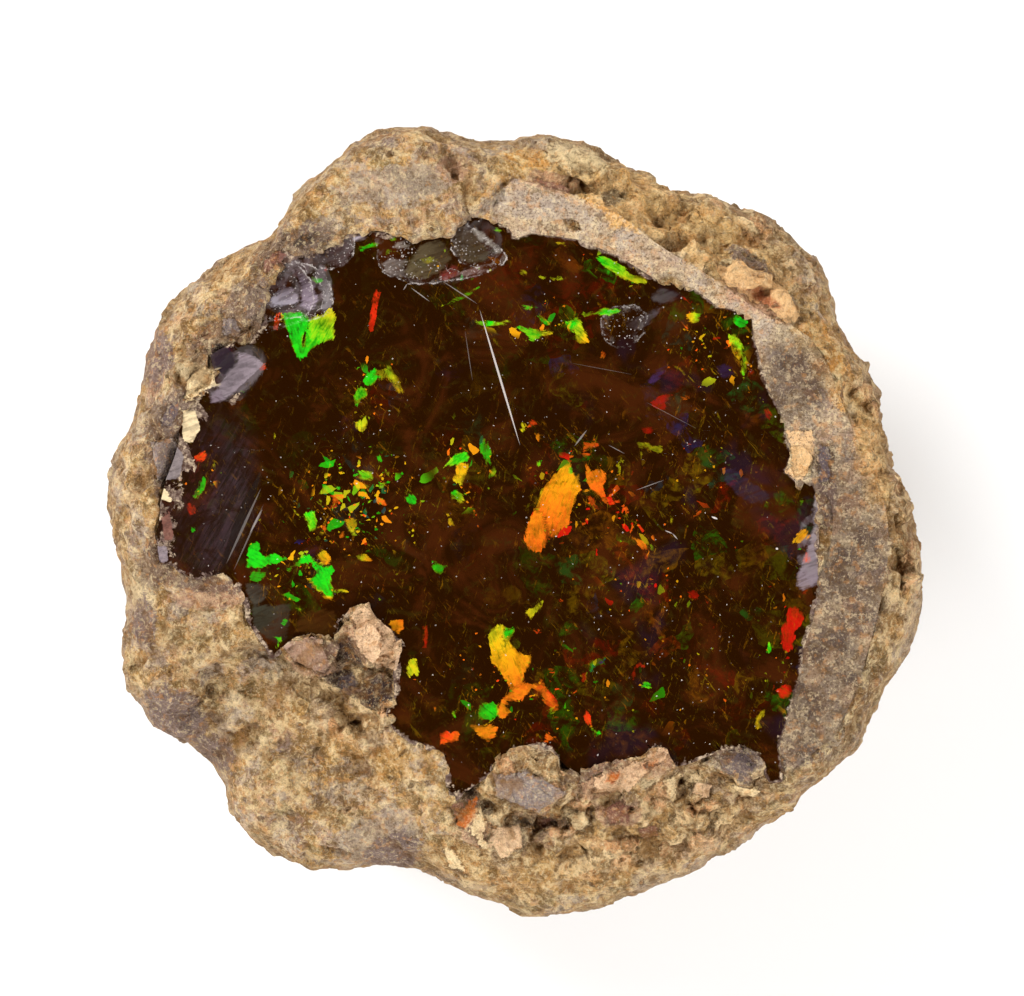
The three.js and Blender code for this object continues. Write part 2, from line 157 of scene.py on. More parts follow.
# %% [markdown]
# ## Shader sums as Python
# A material is a chain of small sums on numbers: a mask times a colour, one minus a mask. Wiring
# each Math node by hand hides the idea. Signal wraps a socket, so that a sum written in Python
# adds the nodes itself, and Graph.node makes any other node from its type, settings and inputs.


# %% Signals
class Signal:
    """A socket in a material's graph. Arithmetic on it adds Math nodes."""

    def __init__(self, graph, socket):
        self.graph = graph
        self.socket = socket

    def sum(self, operation, *values):
        node = self.graph.node("ShaderNodeMath", {"operation": operation}, list(values))
        return node.out()

    def __add__(self, other):
        return self.sum("ADD", self, other)

    def __radd__(self, other):
        return self.sum("ADD", other, self)

    def __sub__(self, other):
        return self.sum("SUBTRACT", self, other)

    def __rsub__(self, other):
        return self.sum("SUBTRACT", other, self)

    def __mul__(self, other):
        return self.sum("MULTIPLY", self, other)

    def __rmul__(self, other):
        return self.sum("MULTIPLY", other, self)

    def __truediv__(self, other):
        return self.sum("DIVIDE", self, other)

    def __rtruediv__(self, other):
        return self.sum("DIVIDE", other, self)

    def __abs__(self):
        return self.sum("ABSOLUTE", self)

    def sine(self):
        return self.sum("SINE", self)

    def least(self, other):
        return self.sum("MINIMUM", self, other)

    def most(self, other):
        return self.sum("MAXIMUM", self, other)

    def ramp(self, low, high):
        """0 below low, 1 above high and a smooth step between. With low above high it falls."""
        start, end = min(low, high), max(low, high)
        spread = {"From Min": start, "From Max": end, "Value": self}
        if low > high:
            spread.update({"To Min": 1.0, "To Max": 0.0})
        kind = {"interpolation_type": "SMOOTHSTEP"}
        return self.graph.node("ShaderNodeMapRange", kind, spread).out("Result")


class Made:
    """A node just made, whose outputs are read as signals."""

    def __init__(self, graph, node):
        self.graph = graph
        self.node = node

    def out(self, name=0):
        return Signal(self.graph, self.node.outputs[name])


print("signals ready")

# %% [markdown]
# ## Graphs
# A graph holds the nodes of one material. It has a method for each thing that a material needs
# again and again: the point's place, an attribute of the mesh, noise, cells and mixed colours.


# %% Graphs
class Graph:
    """The nodes of one material."""

    def __init__(self, name):
        self.material = bpy.data.materials.new(name)
        self.material.use_nodes = True
        self.tree = self.material.node_tree
        self.tree.nodes.clear()

    def node(self, kind, settings=None, inputs=None):
        """A node of this kind: its settings first, then the values or links of its sockets."""
        node = self.tree.nodes.new(kind)
        for key, value in (settings or {}).items():
            setattr(node, key, value)
        pairs = inputs.items() if isinstance(inputs, dict) else enumerate(inputs or [])
        for key, value in pairs:
            if isinstance(value, Signal):
                self.tree.links.new(value.socket, node.inputs[key])
            else:
                node.inputs[key].default_value = value
        return Made(self, node)

    def mix(self, amount, under, over, blend="MIX"):
        """A colour between two colours, or one blended over the other."""
        made = self.node("ShaderNodeMix", {"data_type": "RGBA", "blend_type": blend})
        for slot, value in ((0, amount), (6, under), (7, over)):
            if isinstance(value, Signal):
                self.tree.links.new(value.socket, made.node.inputs[slot])
            else:
                made.node.inputs[slot].default_value = value if slot == 0 else (*value, 1)[:4]
        return made.out(2)

    def attribute(self, name, output="Fac"):
        return self.node("ShaderNodeAttribute", {"attribute_name": name}).out(output)

    def place(self):
        return self.node("ShaderNodeTexCoord").out("Object")

    def shifted(self, place, distance):
        """The same place moved, so that a second noise doesn't follow the first."""
        offset = (distance, distance, distance)
        return self.node("ShaderNodeVectorMath", {"operation": "ADD"}, [place, offset]).out()

    def stirred(self, place, span, amount):
        """The same place moved about by noise, so that cells lose their straight sides."""
        values = {"Vector": place, "Scale": 1 / span, "Detail": 2.0}
        swirl = self.node("ShaderNodeTexNoise", None, values).out("Color")
        push = {"operation": "MULTIPLY_ADD"}
        size, middle = (amount,) * 3, (-amount / 2,) * 3
        moved = self.node("ShaderNodeVectorMath", push, [swirl, size, middle]).out()
        return self.node("ShaderNodeVectorMath", {"operation": "ADD"}, [place, moved]).out()

    def stretched(self, place, turn, along, across):
        """The same place turned by degrees and scaled, so that noise runs in streaks."""
        values = {"Vector": place, "Rotation": (0, 0, math.radians(turn))}
        values["Scale"] = (along, across, across)
        return self.node("ShaderNodeMapping", {"vector_type": "TEXTURE"}, values).out()

    def millimetres(self, place):
        """The east and north coordinates of a place, in millimetres."""
        parts = self.node("ShaderNodeSeparateXYZ", None, [place])
        return parts.out("X") * 1000, parts.out("Y") * 1000

    def noise(self, span, detail=2.0, roughness=0.5, distortion=0.0, place=None):
        """Cloudy noise from 0 to 1 whose blobs are about span wide, in metres."""
        values = {"Vector": place or self.place(), "Scale": 1 / span, "Detail": detail}
        values.update({"Roughness": roughness, "Distortion": distortion})
        return self.node("ShaderNodeTexNoise", None, values).out("Fac")

    def cells(self, span, place=None):
        """Cells about span wide: the distance from a cell's middle, and two random numbers each."""
        values = {"Vector": place or self.place(), "Scale": 1 / span}
        made = self.node("ShaderNodeTexVoronoi", None, values)
        shades = self.node("ShaderNodeSeparateColor", None, {0: made.out("Color")})
        return made.out("Distance"), shades.out(0), shades.out(1)

    def borders(self, span, place):
        """The distance from the borders between cells about span wide."""
        values = {"Vector": place, "Scale": 1 / span}
        edges = {"feature": "DISTANCE_TO_EDGE"}
        return self.node("ShaderNodeTexVoronoi", edges, values).out("Distance")

    def finish(self, shader):
        self.node("ShaderNodeOutputMaterial", None, {"Surface": shader.out()})
        return self.material


print("shader helpers ready")

# %% [markdown]
# ## The rock's mesh
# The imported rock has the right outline, clasts, pits and grooves, but its faces are millimetres
# wide. It could be remeshed in voxels, which would round the ground edge beside the opal. Cutting
# every long edge in half, again and again, keeps that edge crisp. The face gets short edges, and
# the unseen back longer ones.

# %% Fine copy of a solid
BROKEN_EDGE = 0.5 * MM
GROUND_EDGE = 0.85 * MM
BACK_EDGE = 1.5 * MM
FINE_ABOVE = 21 * MM


def merged_copy(node):
    """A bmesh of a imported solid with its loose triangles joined."""
    bm = bmesh.new()
    bm.from_mesh(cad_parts[node].data)
    bmesh.ops.remove_doubles(bm, verts=bm.verts[:], dist=0.001 * MM)
    return bm


def drop_twins(bm):
    """Deletes faces that lie in pairs on the same three points."""
    on_points = {}
    for face in bm.faces:
        on_points.setdefault(frozenset(face.verts), []).append(face)
    twins = [face for faces in on_points.values() if len(faces) > 1 for face in faces]
    bmesh.ops.delete(bm, geom=twins, context="FACES")


def cut_long_edges(bm, limit, passes=7):
    """Halves every edge longer than its limit, a few times over."""
    for _ in range(passes):
        long_edges = [edge for edge in bm.edges if edge.calc_length() > limit(edge)]
        bmesh.ops.subdivide_edges(bm, edges=long_edges, cuts=1)
        many_sided = [face for face in bm.faces if len(face.verts) > 3]
        bmesh.ops.triangulate(bm, faces=many_sided)
        drop_twins(bm)  # two neighbours sometimes get the same sliver, back to back


def rock_limit(edge):
    low = min(edge.verts[0].co.z, edge.verts[1].co.z)
    high = max(edge.verts[0].co.z, edge.verts[1].co.z)
    if abs(low - FACE) < LEVEL and abs(high - FACE) < LEVEL:
        return GROUND_EDGE
    return BROKEN_EDGE if high > FINE_ABOVE else BACK_EDGE


rock = merged_copy("rind")
cut_long_edges(rock, rock_limit)
rock.normal_update()
print("rock:", len(rock.verts), "points")

# %% [markdown]
# ## Shards
# The rock holds flat splinters of other rock and of opal, most of them at the bottom and on the
# left. Each one is outlined here in millimetres, with its colour. Where a shard lies, the rock's
# points are moved onto one plane, which gives it a straight face, and both materials colour it.
# What the mesh stores is how far a point lies inside the nearest shard. That number changes
# evenly, so a material can cut it at zero and get a crisp edge from a coarse mesh.

# %% Shards and distances from outlines


def srgb(red, green, blue):
    """A colour given as on a screen, 0 to 255 each, as the shader's linear numbers."""
    def linear(level):
        share = level / 255
        return share / 12.92 if share <= 0.04045 else ((share + 0.055) / 1.055) ** 2.4
    return tuple(linear(level) for level in (red, green, blue))


TAUPE_SHARD = srgb(168, 136, 118)
CREAM_SHARD = srgb(242, 216, 170)
ROSE_SHARD = srgb(226, 188, 152)
GREY_SHARD = srgb(132, 120, 120)
PEACH_SHARD = srgb(228, 184, 132)
SLATE_SHARD = srgb(92, 80, 86)
INK_SHARD = srgb(32, 17, 29)
LILAC_SHARD_AND_SHEEN = srgb(136, 122, 128)
AMBER_SHARD = srgb(190, 94, 16)
RUSTY_SHARD = srgb(190, 116, 78)
LIVER_SHARD = srgb(122, 78, 66)
ROUGH = 0.05
SHARDS = [
    # colour, lift, corners as x,y; all in millimetres. A shard with the lift ROUGH isn't flattened.
    (TAUPE_SHARD, 0.25, "-18.5,-9.9 -16,-9.1 -15.4,-9.6 -14.3,-11.7 -14.7,-12.2 -17.1,-11.7 "
     "-17.9,-10.5"),
    (ROSE_SHARD, ROUGH, "-12.9,-7.2 -11.2,-7.3 -9.6,-8.8 -9,-10.4 -9.3,-11.9 -10.9,-11.6 -12.3,-10.3 "
     "-12.6,-8.6"),
    (INK_SHARD, -0.2, "-13.8,-9.3 -13,-9 -12.5,-10.4 -11.4,-11.8 -12.6,-11.4 -13.7,-10.6"),
    (SLATE_SHARD, -0.2, "-14.1,-12.4 -12.8,-12 -12.4,-13.4 -13.2,-14.1 -14,-13.6"),
    (INK_SHARD, -0.3, "-12.4,-13 -10.8,-12.2 -9.5,-12.5 -9.8,-13.9 -11.4,-14.7 -12.3,-14.1"),
    (GREY_SHARD, 0.1, "-1.7,-20.1 0.1,-19.9 2,-20.1 4.4,-21.6 3.2,-22.6 0.8,-23.1 -1.3,-22"),
    (AMBER_SHARD, 0, "-5.1,-22.7 -2.7,-21.7 -3,-23.2 -3.6,-24.4 -4.4,-24.4"),
    (LIVER_SHARD, 0, "-5.2,-22.7 -3.2,-21.8 -4,-22.9 -4.6,-23.6"),
    (CREAM_SHARD, 0.2, "-3,-23.2 -2.6,-21.8 -2.3,-24 -2.4,-26 -3.7,-24.5"),
    (LIVER_SHARD, -0.4, "1.6,-23.8 3.2,-23.5 3,-24.5 1.9,-24.5"),
    (ROSE_SHARD, 0.25, "6.2,-21.8 6.5,-20.4 10.1,-19 12,-17.9 12.3,-18.7 11.3,-19.6 10.1,-20.4 "
     "8.6,-21.6"),
    (AMBER_SHARD, 0.3, "7.3,-20.4 8.3,-19.8 8.5,-20.2 7.6,-20.9"),
    (AMBER_SHARD, 0.3, "10.3,-19.3 11.3,-18.9 11.2,-19.5 10.6,-19.7"),
    (SLATE_SHARD, 0.15, "15.9,-18.6 18.4,-18.4 19.3,-19.4 18.6,-20.4 16.8,-20"),
    (LIVER_SHARD, 0.1, "7,-22.8 8.1,-22.3 9.4,-22.5 9.1,-23.8 7.6,-24"),
    (CREAM_SHARD, 0.2, "-5.7,-25.8 -4.9,-26 -3.5,-28.1 -5.5,-27.4"),
    (CREAM_SHARD, 0.2, "11.9,-20.4 13.4,-19.9 13.2,-21.1 12.2,-21.6"),
    (CREAM_SHARD, 0.2, "17.2,-20.9 18.8,-20.7 19.9,-21.6 18.2,-22.2"),
    (ROSE_SHARD, 0.15, "14.4,-20.6 15.9,-20.8 15.6,-22 14.2,-21.8"),
    (CREAM_SHARD, 0.2, "4.2,-23.3 5.7,-22.9 6.1,-24.2 4.8,-24.9"),
    (ROSE_SHARD, 0.15, "-1.9,-24.3 0.3,-24.2 0.9,-25.7 -0.9,-26.6 -2,-25.7"),
    (LIVER_SHARD, 0.1, "9.9,-24.4 11.4,-24.1 11.6,-25.3 10.2,-25.5"),
    (CREAM_SHARD, 0.2, "-26.4,9.5 -25.9,11.1 -24.7,12.4 -23.8,12.1 -23.8,11.2 -23.5,10.9 -24.9,10.3 "
     "-25.9,9.5"),
    (INK_SHARD, -0.2, "-24.3,13.2 -23.4,14.1 -22.4,13.6 -22.1,12.4 -23,11.6 -23.9,12.2"),
    (LILAC_SHARD_AND_SHEEN, 0.1, "-23.6,10.8 -21.9,12.9 -20.7,13.3 -19.8,12.5 -22.1,10.5 -23,9.7"),
    (GREY_SHARD, 0.1, "-23.4,16.3 -21.9,16.1 -21.8,14.8 -23.2,14.7"),
    (LIVER_SHARD, 0, "-20.3,20.4 -19,21.4 -17.8,21.6 -18.6,20.5 -19.8,19.6"),
    (SLATE_SHARD, 0.1, "-28.3,7.7 -27.3,9.4 -26.5,9.6 -26.6,8.5 -27.3,7.6"),
    (CREAM_SHARD, 0.1, "-26.4,9 -25.3,8.8 -24.9,7.4 -25.6,6.2 -26.4,6.4"),
    (GREY_SHARD, 0.1, "-28.9,6.4 -27.2,6.6 -26.2,5.2 -26.6,3.4 -28.4,3.2"),
    (CREAM_SHARD, 0.1, "-28.3,2.6 -27.5,2.8 -27.2,1.6 -28,1.4"),
    (LIVER_SHARD, 0.1, "-28.2,1 -27.4,0.9 -27,-1.4 -27.8,-1.6"),
    (LILAC_SHARD_AND_SHEEN, 0, "-28.4,-1.4 -27.6,-2 -27.4,-3.4 -28.4,-3.2"),
    (PEACH_SHARD, ROUGH, "16,20.2 18,20.9 19.8,19.9 21.4,18.8 22.6,17.4 22.9,16 21.6,15.8 20,17 "
     "18.4,18 16.8,18.9"),
    (RUSTY_SHARD, ROUGH, "18.6,18.4 19.8,18.4 21.3,17.2 21.1,16.7 19.7,17.3"),
    (LIVER_SHARD, 0.15, "1.5,27.5 4.2,26.9 5.1,26.1 2.6,26.5"),
    (PEACH_SHARD, 0.1, "21.5,7.3 23.8,7.3 23.9,6 23.8,4.9 23.1,3.3 22.4,3.2 21.5,3.9 22.2,4.7 22,5.8"),
    (SLATE_SHARD, -0.1, "24.1,6.4 25.1,6 25.2,3.2 24.2,3.2"),
]


def corners_of(outline):
    """The corners that a text such as "-2.4,16 -1,15.9" gives, in millimetres."""
    return np.array([corner.split(",") for corner in outline.split()], float)


def inside_distance(points, outline):
    """Signed distances of points from an outline, positive inside it."""
    corners = corners_of(outline)
    ends = np.roll(corners, -1, axis=0)
    nearest = np.full(len(points), 1e9)
    crossings = np.zeros(len(points), int)
    for start, end in zip(corners, ends):
        edge = end - start
        share = np.clip((points - start) @ edge / (edge @ edge), 0, 1)
        nearest = np.minimum(nearest, np.linalg.norm(points - start - share[:, None] * edge, axis=1))
        if start[1] != end[1]:
            spans = (start[1] > points[:, 1]) != (end[1] > points[:, 1])
            crossing = start[0] + (points[:, 1] - start[1]) * edge[0] / edge[1]
            crossings += spans & (points[:, 0] < crossing)
    return np.where(crossings % 2 == 1, nearest, -nearest)


def shard_layout(points):
    """For points on the face: the distance inside the nearest shard, and which shard it is."""
    inside = np.full(len(points), FAR_OUTSIDE)
    which = np.zeros(len(points), int)
    for number, (_, _, outline) in enumerate(SHARDS):
        distance = inside_distance(points, outline)
        wins = (distance > inside) | (distance > 0)  # a later shard lies on the earlier ones
        which[wins] = number
        inside[wins] = distance[wins]
    return inside, which


def store_shards(bm, inside, which):
    """Writes each point's distance inside a shard, and that shard's colour."""
    shard = bm.verts.layers.float.new("shard")
    tint = bm.verts.layers.float_color.new("shard_colour")
    for vertex, distance, number in zip(bm.verts, inside, which):
        vertex[shard] = distance
        vertex[tint] = (*SHARDS[number][0], 1)


print(len(SHARDS), "shards")

# %% [markdown]
# ## How broken rock is shaped
# Broken rhyolite is a mass of rounded clods and small tilted facets, in two sizes, with creases
# between them. These functions give its height over the mean surface at any point. Some areas
# crumble more than others, and they are named here as ellipses on the face.

# %% Heights of broken rock
opal_rim = kdtree.KDTree(len(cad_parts["opal"].data.vertices))
for number, vertex in enumerate(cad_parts["opal"].data.vertices):
    opal_rim.insert(vertex.co, number)
opal_rim.balance()


def step(value, low, high):
    """0 below low, 1 above high, smooth between."""
    share = min(1, max(0, (value - low) / (high - low)))
    return share * share * (3 - 2 * share)


CRUMBLY = [
    # x, y, half length, half width, turn in degrees
    (13, 24.5, 13, 5, -27), (8, -23, 14, 5.5, 8), (29.5, 3, 3.5, 12, 4), (-13, -13, 6, 5, 0),
    (-11.2, -9.6, 3.4, 3.4, 0), (1, -20, 5.5, 4, 0), (-24.4, 13, 2.5, 5, -40),
]


def inside_ellipses(place, ellipses):
    """How far inside the nearest ellipse a point is: 1 in the middle, 0 at the edge, less outside."""
    best = -1
    for x, y, length, width, turn in ellipses:
        angle = math.radians(turn)
        east, north = place.x - x, place.y - y
        along = (east * math.cos(angle) + north * math.sin(angle)) / length
        across = (north * math.cos(angle) - east * math.sin(angle)) / width
        best = max(best, 1 - math.hypot(along, across))
    return best


def facets(place, span):
    """Small tilted planes, each with its own height, and how near their borders a point is."""
    spot = place / span
    distances, middles = noise.voronoi(spot)
    middle = middles[0]
    tilt = noise.noise_vector(middle * 3.7)
    height = (spot - middle).dot(tilt) + 0.45 * noise.noise(middle * 5.3)
    return height * span, distances[1] - distances[0]


def broken_relief(place):
    """Height of broken rock over its mean surface in millimetres, and how creased it is."""
    coarse = 0.5 + 0.5 * step(inside_ellipses(place, CRUMBLY), 0, 0.4)
    stirred = place + 0.35 * noise.noise_vector(place / 1.3)
    large, _ = facets(stirred, 2.3)
    small, _ = facets(stirred + Vector((40, 0, 0)), 1.1)
    clods = abs(noise.noise(stirred / 1.9)) + 0.5 * abs(noise.noise(stirred / 0.9))
    crease = 1 - step(clods, 0, 0.3)
    height = 0.2 * noise.noise(place / 4) + coarse * (0.75 * large + 0.65 * small)
    height += coarse * 0.7 * (clods - 0.35)
    height += 0.15 * noise.fractal(place / 1.2, 0.7, 2.1, 4)
    return height, crease * coarse


print(len(CRUMBLY), "crumbly areas")

# %% [markdown]
# ## Rounded rock and soft pits
# Where grains fell out, the rock has soft pits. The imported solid's straight facets are rounded
# first, most of all inside its pits. The ground band is left flat, and so is the rim beside the
# opal.


# %% Rounded rock and soft pits
def touches_ground(vertex):
    """Whether a point belongs to the ground face of the rock."""
    if vertex.co.x < -2 * MM + 0.5 * (vertex.co.y - 24 * MM) and vertex.co.y > 0:
        return False  # the upper left was broken, not ground
    level = abs(vertex.co.z - FACE) < LEVEL
    return level and any(face.normal.z > 0.999 for face in vertex.link_faces)


PITS = [
    # x, y, radius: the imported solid's pits, which are softened
    (-4.9, 29, 1.4), (4.6, 23.6, 1.6), (7.6, 25.9, 1.8), (12.4, 24.1, 1.7), (15.8, 20.8, 1.6),
    (24.2, 14.9, 1.7), (26.9, 9.2, 2.2), (28.3, 3.9, 1.6), (30.5, -3.5, 2), (1.9, -24.2, 1.8),
    (0.3, -24, 1.4), (3.5, -24.2, 1.4),
    (-2.2, -22.6, 1.3), (13.6, -20.9, 1.5), (19.6, -21.6, 1.6), (-13.6, -12.3, 1.3),
    (-26.6, 14.2, 1.5), (-24.2, -7.3, 1.6),
]
rock.verts.index_update()
broken = []
for vertex in rock.verts:
    on_face = Vector((vertex.co.x, vertex.co.y, FACE))
    if vertex.co.z > 1 * MM and not touches_ground(vertex) and opal_rim.find(on_face)[2] > 1.2 * MM:
        broken.append(vertex)
in_pits = []
for vertex in broken:
    x, y = vertex.co.x / MM, vertex.co.y / MM
    if vertex.co.z > FINE_ABOVE and any(math.hypot(x - a, y - b) < r for a, b, r in PITS):
        in_pits.append(vertex)
for rounds, chosen in ((7, broken), (60, in_pits)):
    for _ in range(rounds):
        bmesh.ops.smooth_vert(rock, verts=chosen, factor=0.5, use_axis_x=True, use_axis_y=True,
                              use_axis_z=True)
rock.normal_update()
broken_numbers = [vertex.index for vertex in broken]
print(len(broken), "points rounded,", len(in_pits), "of them in pits")

# %% [markdown]
# ## A plane for each shard
# A splinter has a straight face. The plane that fits the rock under a shard best, raised by the
# shard's lift, is where its points will go.

# %% Planes of the shards
rock_points = np.array([vertex.co for vertex in rock.verts]) / MM
shard_inside, shard_number = shard_layout(rock_points[:, :2])
shard_inside[rock_points[:, 2] < 21] = FAR_OUTSIDE
store_shards(rock, shard_inside, shard_number)
planes = {}
for number, (_, lift, _) in enumerate(SHARDS):
    on_shard = rock_points[(shard_number == number) & (shard_inside > 0.05)]
    if len(on_shard) > 5 and lift != ROUGH:
        level = np.column_stack((on_shard[:, :2], np.ones(len(on_shard))))
        slope_x, slope_y, height = np.linalg.lstsq(level, on_shard[:, 2], rcond=None)[0]
        planes[number] = (slope_x, slope_y, height + lift)
print(len(planes), "shards lie on the rock")

# %% [markdown]
# ## The rock's relief
# Each point moves along its normal by the height of broken rock there, and a shard's points move
# onto its plane. The ground band stays flat, and beside the opal the rock only grows, so that it
# laps a little over the opal's edge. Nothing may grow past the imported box, so the few points that
# would are held at it. What the material needs to know of each point is stored with it.

# %% Relief of the rock
layers = rock.verts.layers.float
relief_layer = layers.new("relief")
crease_layer = layers.new("crease")
ground_layer = layers.new("ground")
skyward_layer = layers.new("skyward")
crumbly_layer = layers.new("crumbly")
rim_layer = layers.new("rim")
moves = []
for vertex, inside, number in zip(rock.verts, shard_inside, shard_number):
    flat = touches_ground(vertex)
    on_face = Vector((vertex.co.x, vertex.co.y, FACE))
    to_opal = opal_rim.find(on_face)[2] / MM
    height, crease = broken_relief(vertex.co / MM)
    vertex[ground_layer] = 1.0 if flat else 0.0
    vertex[skyward_layer] = vertex.normal.z
    vertex[crumbly_layer] = step(inside_ellipses(vertex.co / MM, CRUMBLY), 0, 0.4)
    vertex[rim_layer] = min(to_opal, 3)
    vertex[relief_layer] = height
    vertex[crease_layer] = crease
    if flat or vertex.co.z < 0.3 * MM:
        continue
    height *= 0.65 + 0.35 * step(vertex.normal.z, 0, 0.6)
    height *= 0.25 + 0.75 * step(vertex.co.z / MM, 1, 10)
    beside = 1 - step(to_opal, 0.5, 1.6)
    height += beside * (max(0.12, height + 0.15) - height)
    move = vertex.normal * height * MM
    if inside > 0 and number in planes and vertex.normal.z > 0.1:
        slope_x, slope_y, level = planes[number]
        x, y, z = vertex.co / MM
        up = slope_x * x + slope_y * y + level + 0.1 * height - z
        share = 0.9 * step(inside, 0, 0.25)
        move = move.lerp(Vector((0, 0, max(-0.35, min(0.35, up)) * MM)), share)
    moves.append((vertex, move))
for vertex, move in moves:
    vertex.co += move
rock.verts.ensure_lookup_table()
broken = [rock.verts[number] for number in broken_numbers]
bmesh.ops.smooth_vert(rock, verts=broken, factor=0.2, use_axis_x=True, use_axis_y=True,
                      use_axis_z=True)
for vertex, _ in moves:
    for axis in range(3):
        vertex.co[axis] = min(max(vertex.co[axis], cad_box[0][axis]), cad_box[1][axis])
rock.normal_update()
print("rock moved by up to", round(max(move.length for _, move in moves) / MM, 2), "mm")

# %% [markdown]
# ## Coloured patches in the rock
# Rhyolite isn't one colour: it holds grey, pink, cream and rusty clasts and stains. The large
# ones are named here by place, as ellipses on the face in millimetres. The dark ones are painted
# shade in pits and hollows. Each tone becomes an attribute of the mesh: 1 in the middle of its
# ellipses, 0 at their edge and less outside. The material breaks that edge up with noise.

# %% Patches
PATCHES = {
    "grey": [
        # x, y, half length, half width, turn in degrees
        (-9.3, 26.7, 4.6, 1.8, 4), (2.1, 25.1, 5, 1.2, -6), (-27.4, -15.6, 3.4, 2.1, -28),
        (-10.6, -25.4, 3.8, 2.4, 20), (1.2, -21.4, 2.4, 1.5, -4), (-27.2, 4, 1.4, 5.6, 8),
        (-27, 9.3, 2.2, 1.5, 20), (17.6, -19, 2.5, 1.2, -4), (-20.5, 17.4, 1, 2.4, -8),
        (-15.6, 23, 2.6, 1.1, 22),
    ],
    # painted shade: the dark patches lie in pits and hollows
    "dark": [
        (-11.2, -13.6, 1.8, 1.1, 8), (-13.8, -12.6, 0.9, 0.9, 0), (-16.6, 22.4, 1.5, 0.5, 20),
        (24.7, 4.7, 0.8, 1.9, 0), (-24.6, 7.9, 1.1, 0.9, 0), (-2.2, -22.7, 0.8, 0.8, 0),
        (2.2, -23.9, 2.8, 0.5, -6), (21.2, -19.6, 0.5, 1.4, 0), (7.8, 25.8, 1, 0.7, 0),
    ],
    "pink": [
        (-5, 27.9, 1.4, 1.2, 0), (3.2, 27, 2.6, 0.9, -12), (19.2, 17.9, 3.2, 1.5, -28),
        (7.4, -20.4, 3.2, 1.3, 26), (11.4, -19.2, 2, 1.1, 30), (8.3, -23.3, 2.2, 1.1, 0),
        (-11.6, -9.3, 2.4, 2.2, 0), (-24.4, -6, 3.4, 1.1, 4), (-16.2, -10.9, 2.2, 1.6, -18),
        (-3.2, -24.6, 1.2, 1.6, 20), (-28.5, 12, 0.9, 3, -14),
    ],
    "cream": [
        (-25.4, 12.1, 1.5, 1.2, 30), (22.7, 4.7, 1.1, 1.8, 0), (-0.6, -25.2, 1.7, 1.5, 0),
        (5, 29, 3.2, 1.2, -14), (18.2, 19.9, 2.2, 1.1, -20), (-7.4, -5, 0.4, 0.4, 0),
        (10.8, -20.3, 1.2, 0.7, 30), (-29.6, -6, 1.2, 2.4, 4),
    ],
    "ochre": [
        (7.2, 27.4, 3.4, 1.4, -20), (14, 23.8, 5.2, 1.9, -24), (29.2, 5, 1.5, 6.4, 14),
        (30.5, -6.6, 1.6, 4, 0), (11.6, -24.6, 8.5, 2.4, 16), (-12, -17.5, 6, 2, -24),
        (-22.4, 20, 3, 1.2, 34), (5, -27.5, 10, 2.4, 8), (-4, -27, 4, 2, 0),
    ],
    "honey": [
        (9, 25.9, 7.4, 2.6, -24), (17, 21.4, 6.4, 2.6, -40), (4, 28, 5.4, 1.6, -14),
        (24.8, 12.8, 1.6, 5, 30), (28.4, 5.4, 1.4, 5.4, 8),
    ],
    "peach": [
        (14.6, 21.6, 2.6, 1.2, -30), (18.6, 18.8, 3, 1.3, -34), (21, 16.8, 1.6, 1, -40),
    ],
    "plum": [
        (-27, -15.6, 3.2, 2.4, -40), (-24, -18.4, 2, 1.6, -30), (-29.6, -8, 1.2, 2.2, 0),
        (-9.6, -26.4, 2.6, 1.8, 16), (-28.6, 13, 1.6, 2.6, -14), (19, 20.4, 2.6, 1, -38),
    ],
    "shaded": [
        (26.4, -2, 4.6, 10, 4), (24, -13.5, 5, 8.4, -22), (22.6, 11.4, 3.6, 4.4, -20),
        (22.6, 23.2, 2.4, 1, -38), (29.6, 14.6, 1, 5, 24),
    ],
    "stained": [
        (-17.6, 21.9, 4.2, 1.5, 26), (-23.4, 14.6, 3, 1.8, 48), (-27.9, 5, 1.4, 5.4, 8),
        (-26.4, 9.8, 2.6, 1, 34), (-28.6, -3.4, 1.6, 2.4, -10), (-24.8, -4.9, 3.6, 0.8, -6),
        (-14.5, -11.2, 1.6, 2, 0), (24.9, 2.4, 0.9, 3, 6), (-3.6, -22, 1, 2, 20),
        (6.4, -19.4, 3.4, 0.9, 26), (17.6, -18.4, 2.6, 0.8, -6), (-21.6, 17, 1.5, 3.4, -42),
        (-27.4, 7.4, 1.2, 3.4, -12), (-20.6, 14.8, 0.9, 1.6, 0),
    ],
}


for tone, patches in PATCHES.items():
    layer = layers.new("tone_" + tone)
    for vertex in rock.verts:
        if vertex.co.z > FINE_ABOVE:
            vertex[layer] = inside_ellipses(vertex.co / MM, patches)
print({tone: len(patches) for tone, patches in PATCHES.items()})

# %% [markdown]
# ## From points to objects
# Both pieces become objects in the same way. Each rides on the part's one body and stands for a
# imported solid, and only the edges that bend sharply are drawn sharp.


# %% Rock object
def add_piece(bm, name, node, crisp):
    """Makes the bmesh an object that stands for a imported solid, with edges over crisp sharp."""
    for edge in bm.edges:
        edge.smooth = edge.calc_face_angle(0) < math.radians(crisp)
    mesh = bpy.data.meshes.new(name)
    bm.to_mesh(mesh)
    bm.free()
    mesh.polygons.foreach_set("use_smooth", [True] * len(mesh.polygons))
    piece = bpy.data.objects.new(name, mesh)
    bpy.context.scene.collection.objects.link(piece)
    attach(piece, "root")
    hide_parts(node)
    print(name, len(mesh.polygons), "faces")
    return piece


rind = add_piece(rock, "rough_rind", "rind", 48)
